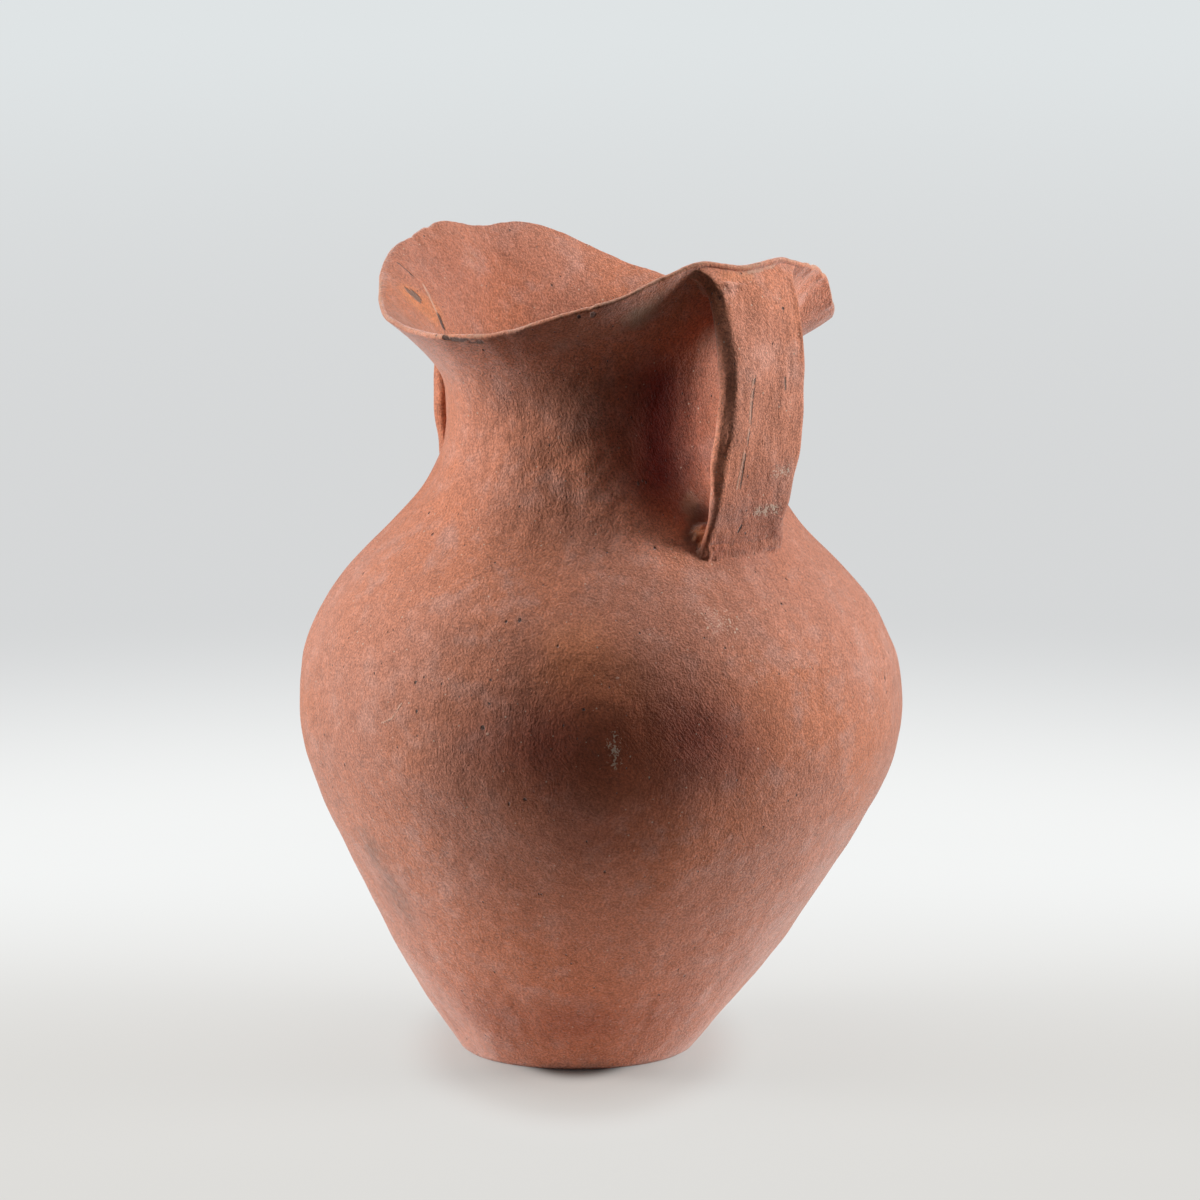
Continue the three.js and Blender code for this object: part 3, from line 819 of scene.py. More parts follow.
@dataclass(frozen=True)
class ClayFinish:
    """Matt red earthenware, scraped while leather hard: mottled, streaked, pitted and dusty."""

    name: str
    slot: str
    body: Colour = (0.440, 0.172, 0.106)
    warm: Colour = (0.470, 0.165, 0.086)
    pink: Colour = (0.470, 0.215, 0.152)
    bare: Colour = (0.560, 0.195, 0.080)
    # Colour of dusty clay, also used for painted light and a painted highlight.
    dust: Colour = (0.430, 0.300, 0.210)
    # Tint of painted shade, and of the darker clay along the strap foot's joint.
    dark_joint_and_painted_shade: Colour = (0.290, 0.054, 0.024)
    chip: Colour = (0.160, 0.100, 0.075)
    grime: Colour = (0.130, 0.070, 0.048)
    pit: Colour = (0.050, 0.025, 0.018)
    fleck: Colour = (0.560, 0.430, 0.330)
    scrape: Colour = (0.600, 0.370, 0.270)
    roughness: float = 0.72
    sheen: float = 0.42
    sheen_roughness: float = 0.45
    specular: float = 0.12
    twist: float = 7.0
    roughened: float = 1.0
    round_scale: float = 0.09
    depth_scale: float = 0.15
    fine_pits: Spots = Spots(0.0040, 0.078, 0.90)
    large_pits: Spots = Spots(0.0090, 0.060, 0.50)
    flecks: Spots = Spots(0.0030, 0.12, 0.80)
    spot_edge: Zone = (-0.02, 0.03)
    spot_onset: float = 0.02
    pit_stretch: float = 0.55
    grain_size: float = 0.0008
    lump_size: float = 0.006
    broad_size: float = 0.055
    middle_size: float = 0.013
    small_size: float = 0.0042
    dust_size: float = 0.011
    speck_size: float = 0.0016
    gap_size: float = 0.0030
    wobble_size: float = 0.0025
    wobble: float = 1.4 * MM
    slant_size: float = 0.0010
    upright_size: float = 0.0011
    patch_size: float = 0.04
    patch_zone: Zone = (0.4, 0.6)
    slant_stretch: Place = (1.0, 1.0, 0.22)
    upright_stretch: Place = (1.0, 1.0, 0.20)
    grain_zone: Zone = (0.30, 0.70)
    streak_zone: Zone = (0.24, 0.76)
    scratch_zone: Zone = (0.62, 0.74)
    gap_zone: Zone = (0.34, 0.52)
    broad_zone: Zone = (0.36, 0.64)
    pink_patches: Layer = Layer((0.47, 0.70), 0.90)
    pink_dots: Layer = Layer((0.55, 0.75), 0.45)
    bare_patches: Layer = Layer((0.3, 0.8), 0.85)
    dust_film: Layer = Layer((0.25, 0.75), 0.7)
    grime_film: Layer = Layer((0.25, 0.8), 0.8)
    flakes: Layer = Layer((0.50, 0.66), 0.8)
    bare_edge: float = 0.6
    dust_edge: tuple[float, float] = (0.9, 0.5)
    grime_edge: tuple[float, float] = (0.5, 0.8)
    flake_edge: tuple[float, float] = (1.3, 0.3)
    fleck_most: float = 0.7
    scratch_most: float = 0.34
    scrape_most: float = 0.6
    chip_most: float = 0.9
    pit_most: float = 0.92
    least_shade: float = 0.33
    streak_shade: float = 0.24
    grain_shade: float = 0.58
    small_shade: float = 0.52
    streak_roughness: float = 0.12
    stroke_core: float = 0.55
    painted_light_gain: float = 0.90
    relief: float = 1.0 * MM
    lump_relief: float = 0.70
    streak_relief: float = 0.11
    grain_relief: float = 0.11
    scrape_relief: float = 0.15
    pit_depth: float = 0.60
    chip_depth: float = 0.40
    scratch_depth: float = 0.22

    def material(self) -> bpy.types.Material:
        """Builds the finish.

        Returns:
            The material.
        """
        material = bpy.data.materials.new(self.name)
        material.use_nodes = True
        bench = Bench(material.node_tree)
        place = bench.add("ShaderNodeTexCoord", {}, {}, output="Object")
        grain = bench.noise(place, self.grain_size, 2.0, 0.7).rise(*self.grain_zone)
        lines = self.lines(bench, place)
        streaks = lines.rise(*self.streak_zone)
        scratches = lines.rise(*self.scratch_zone)
        long_place = bench.scale(place, (1.0, 1.0, self.pit_stretch))
        pits = self.spots(bench, long_place, self.fine_pits)
        pits = pits.larger(self.spots(bench, long_place, self.large_pits))
        unrolled = self.unrolled(bench, place)
        broken = bench.noise(place, self.gap_size, 2.0).rise(*self.gap_zone)
        outward = self.outward(bench, place)
        pits = pits.larger(self.strokes(bench, unrolled, broken, outward, Fine.CRACK))
        chips = self.strokes(bench, unrolled, broken, outward, Fine.CHIP)
        scrapes = self.strokes(bench, unrolled, broken, outward, Fine.SCRAPE)
        colour = self.clay(bench, place, grain, streaks)
        colour = self.worn(bench, place, colour, grain)
        colour = bench.scale(colour, 1.0 - self.scratch_most * scratches)
        colour = bench.blend(scrapes * self.scrape_most, colour, self.scrape)
        colour = bench.blend(chips * self.chip_most, colour, self.chip)
        colour = bench.blend(pits * self.pit_most, colour, self.pit)
        height = bench.noise(place, self.lump_size, 3.0) * self.lump_relief
        height = height + streaks * self.streak_relief + grain * self.grain_relief
        height = height + scrapes * self.scrape_relief - pits * self.pit_depth
        height = height - chips * self.chip_depth - scratches * self.scratch_depth
        shader = bench.add("ShaderNodeBsdfPrincipled", {}, {
            "Base Color": colour,
            "Roughness": self.roughness + self.streak_roughness * (streaks - 0.5),
            "Specular IOR Level": self.specular,
            "Sheen Weight": self.sheen,
            "Sheen Roughness": self.sheen_roughness,
            "Normal": bench.add("ShaderNodeBump", {}, {
                "Strength": self.roughened,
                "Distance": self.relief,
                "Height": height,
            }),
        })
        bench.add("ShaderNodeOutputMaterial", {}, {"Surface": shader})
        return material

    def clay(self, bench: Bench, place: Socket, grain: Socket, streaks: Socket) -> Socket:
        """The colour of the clay, brightened by the painted light of PALE and darkened by the painted
        shade and darker joint clay of SOOT.

        Args:
            bench: Where the nodes go.
            place: Position on the jar.
            grain: The clay's grain.
            streaks: The scraping lines.

        Returns:
            The colour.
        """
        broad = bench.noise(place, self.broad_size, 2.0).rise(*self.broad_zone)
        middle = bench.noise(place, self.middle_size, 4.0, 0.6)
        small = bench.noise(place, self.small_size, 3.0, 0.6)
        colour = bench.blend(broad, self.body, self.warm)
        colour = bench.blend(self.pink_patches.cover(middle), colour, self.pink)
        colour = bench.blend(self.pink_dots.cover(small), colour, self.pink)
        bare = bench.attribute(WearAndLight.BARE) + (middle - 0.5) * self.bare_edge
        colour = bench.blend(self.bare_patches.cover(bare), colour, self.bare)
        shade = self.least_shade + self.streak_shade * streaks
        shade = shade + self.grain_shade * grain + self.small_shade * small
        # Painted light: brighter where the pale mask lies.
        shade = shade * (1.0 + self.painted_light_gain * bench.attribute(WearAndLight.PALE))
        colour = bench.scale(colour, shade)
        # Painted shade, with darker clay at the strap foot's joint: darker and redder where that mask
        # lies.
        return bench.blend(bench.attribute(WearAndLight.SOOT), colour, bench.scale(colour, self.dark_joint_and_painted_shade))

    def worn(self, bench: Bench, place: Socket, colour: Socket, grain: Socket) -> Socket:
        """Lays dusty patches, grime and flakes over the clay; the dusty patches also carry some painted
        light.

        Args:
            bench: Where the nodes go.
            place: Position on the jar.
            colour: The clay's colour.
            grain: The clay's grain.

        Returns:
            The colour.
        """
        middle = bench.noise(place, self.dust_size, 4.0, 0.65)
        small = bench.noise(place, self.speck_size, 3.0, 0.7)
        films = (
            # The dusty film also carries painted light under the lip and on the right lobe, and a
            # painted highlight along the rim.
            (WearAndLight.DUST, middle, small, self.dust_edge, self.dust_film, self.dust),
            (WearAndLight.GRIME, middle, small, self.grime_edge, self.grime_film, self.grime),
            (WearAndLight.FLAKE, small, grain, self.flake_edge, self.flakes, self.fleck),
        )
        for wear, coarse, fine, (coarse_edge, fine_edge), layer, tint in films:
            mask = bench.attribute(wear) + (coarse - 0.5) * coarse_edge + (fine - 0.5) * fine_edge
            colour = bench.blend(layer.cover(mask), colour, tint)
        return bench.blend(self.spots(bench, place, self.flecks) * self.fleck_most, colour, self.fleck)

    def unrolled(self, bench: Bench, place: Socket) -> Socket:
        """Position along the jar's round, up its height and, squeezed, out from its axis."""
        parts = bench.add("ShaderNodeSeparateXYZ", {}, {0: place})
        x, y, z = (Socket(bench, output) for output in parts.output.node.outputs)
        turn = bench.math("ARCTAN2", y, x)
        away = bench.length(bench.scale(place, LEVEL))
        flat = {0: turn * self.round_scale, 1: z, 2: away * self.depth_scale}
        flat = bench.add("ShaderNodeCombineXYZ", {}, flat)
        noise = {"Vector": place, "Scale": 1.0 / self.wobble_size, "Detail": 5.0, "Roughness": 0.75}
        noise = bench.add("ShaderNodeTexNoise", {}, noise, output="Color")
        wobble = bench.scale(bench.vector("SUBTRACT", noise, (0.5, 0.5, 0.5)), self.wobble)
        return bench.vector("ADD", flat, wobble)

    def outward(self, bench: Bench, place: Socket) -> Socket:
        """1 where the surface looks away from the jar's axis and 0 where it looks toward it."""
        normal = bench.add("ShaderNodeNewGeometry", {}, {}, output="Normal")
        outward = bench.vector("DOT_PRODUCT", normal, bench.scale(place, LEVEL), "Value")
        return outward.rise(-MM, MM)

    def strokes(self, bench: Bench, unrolled: Socket, broken: Socket, outward: Socket,
                kind: Fine) -> Socket:
        """All fine marks of one kind.

        Args:
            bench: Where the nodes go.
            unrolled: Position on the unrolled jar.
            broken: Where a long mark shows.
            outward: Where the surface looks outward.
            kind: The kind of mark.

        Returns:
            1 on a mark and 0 off it.
        """
        found = {False: [], True: []}
        for mark in FINE_MARKS:
            if mark.kind is not kind:
                continue
            places = [(math.radians(turn) * self.round_scale, height * MM, away * self.depth_scale * MM)
                      for turn, height, away in mark.places]
            reach = mark.reach * MM
            legs = list(zip(places, places[1:])) or [(places[0], places[0])]
            for start, end in legs:
                stroke = bench.stroke(unrolled, start, end).rise(reach, reach * self.stroke_core)
                found[mark.inside].append(stroke if len(places) < 3 else stroke * broken)
        outer, inner = (reduce(Socket.larger, strokes) for strokes in found.values())
        return outer * outward + inner * (1.0 - outward)

    def lines(self, bench: Bench, place: Socket) -> Socket:
        """Fine lines left by scraping, some slanting and some upright."""
        height = bench.add("ShaderNodeSeparateXYZ", {}, {0: place}, output="Z")
        turned = bench.add("ShaderNodeVectorRotate", {"rotation_type": "Z_AXIS"},
                           {"Vector": place, "Angle": height * self.twist})
        slanting = bench.noise(bench.scale(turned, self.slant_stretch), self.slant_size, 3.0, 0.6)
        upright = bench.noise(bench.scale(place, self.upright_stretch), self.upright_size, 3.0, 0.6)
        where = bench.noise(place, self.patch_size, 1.0).rise(*self.patch_zone)
        return where * slanting + (1.0 - where) * upright

    def spots(self, bench: Bench, place: Socket, spots: Spots) -> Socket:
        """Scatters round spots.

        Args:
            bench: Where the nodes go.
            place: Position on the jar.
            spots: How they are scattered.

        Returns:
            1 inside a spot and 0 outside.
        """
        cells = bench.add("ShaderNodeTexVoronoi", {}, {"Vector": place, "Scale": 1.0 / spots.spacing})
        tint = Socket(bench, cells.output.node.outputs["Color"])
        chance = bench.add("ShaderNodeSeparateColor", {}, {0: tint})
        empty = 1.0 - spots.share
        reach = chance.rise(empty, 1.0) * spots.size
        return (reach - cells).rise(*self.spot_edge) * chance.rise(empty, empty + self.spot_onset)


@dataclass
class Vessel:
    """The base slab and the rings of the wall."""

    form: WallForm
    finish: ClayFinish
    material: bpy.types.Material
    ring_steps: int = 360
    lip_steps: int = 1080
    outer_pace: float = 0.0022
    inner_pace: float = 0.0040
    lip_pace: float = 0.0011
    seam_bevel: float = 0.005
    inner_calm: float = 0.8
    lip_round_steps: int = 8
    rim_dust_and_highlight: float = 0.42
    hub: float = 0.0005
    under_steps: int = 19
    top_steps: int = 11
    edge_steps: int = 7
    edge_turn: float = 55.0
    edge_reach: float = 0.92
    side_start: float = 0.8
    side_pace: float = 0.0015
    top_inset: float = 0.003
    groups: tuple[tuple[str, int], ...] = (
        ("lower_wall_ring", 4),
        ("shoulder_ring", 4),
        ("mouth_ring", 2),
    )

    def build(self) -> None:
        """Makes every piece of the vessel."""
        start = self.form.length_at(self.form.base_thickness)
        self.make_base(start)
        ends = self.form.seams
        for (name, count), end in zip(self.groups, ends):
            seams = np.linspace(start, end, count + 1)
            for number, (low, high) in enumerate(zip(seams, seams[1:]), start=1):
                self.make_ring(f"{name}_{number}", low, high)
            start = end

    def surface(self, radius: Array, height: Array, level: Array, calm: Array, steps: int) -> Array:
        """Turns a line of (radius, height) about the axis into an uneven surface.

        Args:
            radius: Radii along the line.
            height: Heights along the line, before the saddle.
            level: Heights of the wall's outside along the line.
            calm: How far the unevenness is smoothed out along the line.
            steps: How many points go round.

        Returns:
            Points in rows along the line and columns round the jar.
        """
        azimuth = np.arange(steps) * 360.0 / steps
        level, azimuth = np.broadcast_arrays(level[:, None], azimuth[None, :])
        out = radius[:, None] + self.form.uneven(azimuth, level) * (1.0 - calm[:, None])
        angle = np.radians(azimuth)
        top = height[:, None] + self.form.raise_saddle(azimuth, level)
        return self.form.settle(np.stack([out * np.cos(angle), out * np.sin(angle), top], axis=-1))

    def face_of(self, radius: Array, height: Array, level: Array, calm: Array,
                steps: int) -> tuple[Array, Array]:
        """Points and normals of a surface, whose first and last rows only help with the normals."""
        points = self.surface(radius, height, level, calm, steps)
        along = points[2:] - points[:-2]
        inside = points[1:-1]
        around = np.roll(inside, -1, axis=1) - np.roll(inside, 1, axis=1)
        normals = np.cross(around, along)
        normals /= np.linalg.norm(normals, axis=-1, keepdims=True)
        return inside, normals

    def lengths(self, low: float, high: float, pace: float) -> Array:
        """Lengths from low to high at about a pace, with one more beyond each end."""
        count = max(2, round((high - low) / pace))
        return low + (high - low) / count * np.arange(-1, count + 2)

    def make_ring(self, name: str, low: float, high: float) -> None:
        """Makes one ring of the wall.

        Args:
            name: The ring's node.
            low: Length along the outer line at which its outside starts.
            high: Length at which its outside ends.
        """
        form = self.form
        is_first = low <= form.length_at(form.base_thickness)
        is_last = high >= form.seams[-1]
        inner_low = low if is_first else low + self.seam_bevel
        if is_last:
            points, normals, rim = self.lip_face(low, inner_low)
            self.finish_ring(name, [points], [normals], {WearAndLight.DUST: np.repeat(rim, self.lip_steps)})
            return
        outer = self.lengths(low, high, self.outer_pace)
        inner = self.lengths(inner_low, high + self.seam_bevel, self.inner_pace)[::-1]
        faces = []
        for lengths, is_inner in ((outer, False), (inner, True)):
            radius, height = form.section(lengths, is_inner)
            level = form.section(lengths, False)[1]
            calm = np.full_like(lengths, self.inner_calm if is_inner else 0.0)
            faces.append(self.face_of(radius, height, level, calm, self.ring_steps))
        self.finish_ring(name, [face[0] for face in faces], [face[1] for face in faces])

    def lip_face(self, low: float, inner_low: float) -> tuple[Array, Array, Array]:
        """The last ring's surface: up its outside, over the lip and down its inside.

        Args:
            low: Length along the outer line at which the outside starts.
            inner_low: Length at which the inside ends.

        Returns:
            Points, normals and, by rows, the rim's mask of dusty paling and painted highlight.
        """
        form = self.form
        end = form.seams[-1]
        outer = self.lengths(low, end, self.lip_pace)[:-1]
        inner = self.lengths(inner_low, end, self.lip_pace)[:-1][::-1]
        out_r, out_h = form.section(outer, False)
        in_r, in_h = form.section(inner, True)
        turn = np.linspace(0.0, math.pi, self.lip_round_steps + 2)[1:-1]
        slope_r, slope_h = form.line[-1, 3:]
        half = form.lip_thickness / 2.0
        across = -half + half * np.cos(turn)
        ahead = half * np.sin(turn)
        lip_r = form.line[-1, 1] + across * slope_h + ahead * slope_r
        lip_h = form.line[-1, 2] - across * slope_r + ahead * slope_h
        radius = np.concatenate([out_r, lip_r, in_r])
        height = np.concatenate([out_h, lip_h, in_h])
        inner_level = form.section(inner, False)[1]
        level = np.concatenate([out_h, np.full_like(lip_h, form.lip_height), inner_level])
        calm = np.concatenate([out_r * 0.0, lip_r * 0.0, np.full_like(in_r, self.inner_calm)])
        # Paler along the rounded top of the lip: dusty clay and a painted highlight.
        rim = np.concatenate([out_r * 0.0, self.rim_dust_and_highlight * np.sin(turn), in_r * 0.0])[1:-1]
        return *self.face_of(radius, height, level, calm, self.lip_steps), rim

    def finish_ring(self, name: str, rows: list[Array], normals: list[Array],
                    wear: Union[dict[WearAndLight, Array], None] = None) -> None:
        """Closes rows of points into a ring and makes the piece."""
        points = np.concatenate(rows)
        numbers = np.arange(points[..., 0].size).reshape(points.shape[:2])
        faces = self.quads(np.concatenate([numbers, numbers[:1]]))
        flat = np.concatenate(normals).reshape(-1, 3)
        Piece(name, self.finish.slot, points.reshape(-1, 3), faces, flat, wear or {}).make(self.material)

    def quads(self, numbers: Array) -> list:
        """Four-sided faces between rows of point numbers that run round the jar."""
        after = np.roll(numbers, -1, axis=1)
        corners = np.stack([numbers[:-1], after[:-1], after[1:], numbers[1:]], axis=-1)
        return corners.reshape(-1, 4).tolist()

    def make_base(self, seam: float) -> None:
        """Makes the base slab, from the middle of its underside round to the middle of its top."""
        form = self.form
        rim = form.base_radius - form.base_round
        under = np.linspace(self.hub, rim, self.under_steps)
        turn = np.radians(np.linspace(0.0, self.edge_turn, self.edge_steps)[1:])
        side = self.lengths(form.length_at(form.base_round * self.side_start), seam, self.side_pace)[1:]
        side_r, side_h = form.section(side, False)
        edge_r = rim + form.base_round * np.sin(turn) * self.edge_reach
        edge_h = form.base_round * (1.0 - np.cos(turn))
        top_r = np.linspace(side_r[-2] - self.top_inset, self.hub, self.top_steps)
        top_h = np.full_like(top_r, side_h[-2])
        below_r = np.concatenate([under, edge_r, side_r])
        below_h = np.concatenate([under * 0.0, edge_h, side_h])
        faces = [self.face_of(radius, height, height, radius * 0.0, self.ring_steps)
                 for radius, height in ((below_r, below_h), (top_r, top_h))]
        points = np.concatenate([face[0] for face in faces])
        normals = np.concatenate([face[1] for face in faces]).reshape(-1, 3)
        total = points[..., 0].size
        numbers = np.arange(total).reshape(points.shape[:2])
        after = np.roll(numbers, -1, axis=1)
        quads = self.quads(numbers)
        below = [(total, b, a) for a, b in zip(numbers[0].tolist(), after[0].tolist())]
        above = [(total + 1, a, b) for a, b in zip(numbers[-1].tolist(), after[-1].tolist())]
        middles = np.stack([points[0].mean(axis=0), points[-1].mean(axis=0)])
        flat = np.concatenate([points.reshape(-1, 3), middles])
        normals = np.concatenate([normals, [(0.0, 0.0, -1.0), (0.0, 0.0, 1.0)]])
        Piece("base_slab", self.finish.slot, flat, quads + below + above, normals).make(self.material)


class Table:
    """Numbers on an even grid in a plane, read between its points."""

    def __init__(self, low: Array, high: Array, pace: float, fill: Callable[[Array], Array]) -> None:
        """Fills the grid.

        Args:
            low: Lowest corner.
            high: Highest corner.
            pace: Distance between grid points.
            fill: Gives rows of numbers for an array of points.
        """
        self.low = np.asarray(low, float)
        self.pace = pace
        self.shape = np.ceil((np.asarray(high) - self.low) / pace).astype(int) + 1
        axes = [self.low[axis] + pace * np.arange(self.shape[axis]) for axis in range(2)]
        grid = np.stack(np.meshgrid(*axes, indexing="ij"), axis=-1)
        self.values = fill(grid.reshape(-1, 2)).reshape(*self.shape, -1)

    def at(self, first: Array, second: Array) -> Array:
        """Rows of numbers at places in the plane."""
        place = (np.stack([first, second], axis=-1) - self.low) / self.pace
        place = np.clip(place, 0.0, self.shape - 1.001)
        cell = place.astype(int)
        share = (place - cell)[..., None]
        i, j = cell[..., 0], cell[..., 1]
        across, along = share[..., 0, :], share[..., 1, :]
        near = self.values[i, j] * (1 - along) + self.values[i, j + 1] * along
        far = self.values[i + 1, j] * (1 - along) + self.values[i + 1, j + 1] * along
        return near * (1 - across) + far * across


def beside_line(points: Array, line: Array) -> Array:
    """Where points lie beside a line in a plane.

    Args:
        points: Points of the plane.
        line: Points along the line.

    Returns:
        For each point the nearest length along the line, and the distance to the right of it.
    """
    starts = line[:-1]
    steps = np.diff(line, axis=0)
    paces = np.linalg.norm(steps, axis=1)
    lengths = np.concatenate([[0.0], np.cumsum(paces)])[:-1]
    found = []
    for part in np.array_split(points, max(1, len(points) // 4000)):
        away = part[:, None, :] - starts[None, :, :]
        share = np.clip((away * steps).sum(axis=2) / paces ** 2, 0.0, 1.0)
        gap = away - share[..., None] * steps
        far = np.hypot(gap[..., 0], gap[..., 1])
        best = far.argmin(axis=1)
        rows = np.arange(len(part))
        side = steps[best, 1] * away[rows, best, 0] - steps[best, 0] * away[rows, best, 1]
        length = lengths[best] + share[rows, best] * paces[best]
        found.append(np.column_stack([length, np.sign(side) * far[rows, best]]))
    return np.concatenate(found)


def wrap_field(values: Array, corner: Array, pace: float) -> tuple[Array, Array]:
    """Wraps the solid where a field is below zero in four-sided faces.

    Args:
        values: The field on an even grid.
        corner: The grid's lowest corner.
        pace: Distance between grid points.

    Returns:
        Points, and faces as rows of four point numbers.
    """
    cells = tuple(size - 1 for size in values.shape)
    total = np.zeros(cells + (3,))
    count = np.zeros(cells)
    low, high = slice(0, -1), slice(1, None)
    for axis in range(3):
        second, third = (axis + 1) % 3, (axis + 2) % 3
        for b in (0, 1):
            for c in (0, 1):
                start = [low, low, low]
                start[second] = (low, high)[b]
                start[third] = (low, high)[c]
                stop = list(start)
                stop[axis] = high
                v0, v1 = values[tuple(start)], values[tuple(stop)]
                cross = (v0 < 0.0) != (v1 < 0.0)
                share = np.where(cross, v0 / np.where(cross, v0 - v1, 1.0), 0.0)
                total[..., axis] += share
                total[..., second] += cross * b
                total[..., third] += cross * c
                count += cross
    active = count > 0
    numbers = np.full(cells, -1)
    numbers[active] = np.arange(active.sum())
    places = np.argwhere(active) + total[active] / count[active][:, None]
    faces = []
    for axis in range(3):
        second, third = (axis + 1) % 3, (axis + 2) % 3
        inner = [slice(1, -1)] * 3
        inner[axis] = low
        v0 = values[tuple(inner)]
        inner[axis] = high
        v1 = values[tuple(inner)]
        cross = (v0 < 0.0) != (v1 < 0.0)
        corners = []
        for b, c in ((low, low), (high, low), (high, high), (low, high)):
            pick = [slice(None)] * 3
            pick[second] = b
            pick[third] = c
            corners.append(numbers[tuple(pick)][cross])
        quads = np.stack(corners, axis=1)
        outward = (v0 < 0.0)[cross]
        faces.append(np.where(outward[:, None], quads, quads[:, ::-1]))
    return np.asarray(corner) + pace * places, np.concatenate(faces)


def main_body(points: Array, faces: Array) -> tuple[Array, Array]:
    """Drops the crumbs that trimming can leave beside the largest body."""
    labels = np.arange(len(points))
    while True:
        least = labels[faces].min(axis=1)
        fresh = labels.copy()
        for column in range(4):
            np.minimum.at(fresh, faces[:, column], least)
        fresh = fresh[fresh]
        if np.array_equal(fresh, labels):
            break
        labels = fresh
    names, sizes = np.unique(labels, return_counts=True)
    kept = labels == names[sizes.argmax()]
    numbers = np.cumsum(kept) - 1
    return points[kept], numbers[faces[kept[faces[:, 0]]]]


class StrapFace(Enum):
    """The two faces of a strap, by the way in which they look."""

    OUTER = 1.0
    INNER = -1.0


class StrapEnd(Enum):
    """The two ends of a strap."""

    TOP = "top"
    FOOT = "foot"


@dataclass(frozen=True)
class Wad:
    """A lump of luting clay that runs across a strap, where one of its faces meets the wall."""

    part: str
    face: StrapFace
    end: StrapEnd
    start: float
    stop: float
    radius: float


WADS = (
    Wad("top_wad", StrapFace.INNER, StrapEnd.TOP, -0.013, 0.013, 0.0060),
    Wad("foot_wad", StrapFace.INNER, StrapEnd.FOOT, -0.0105, 0.013, 0.0042),
    Wad("foot_roll", StrapFace.OUTER, StrapEnd.FOOT, -0.0132, 0.0185, 0.0016),
)


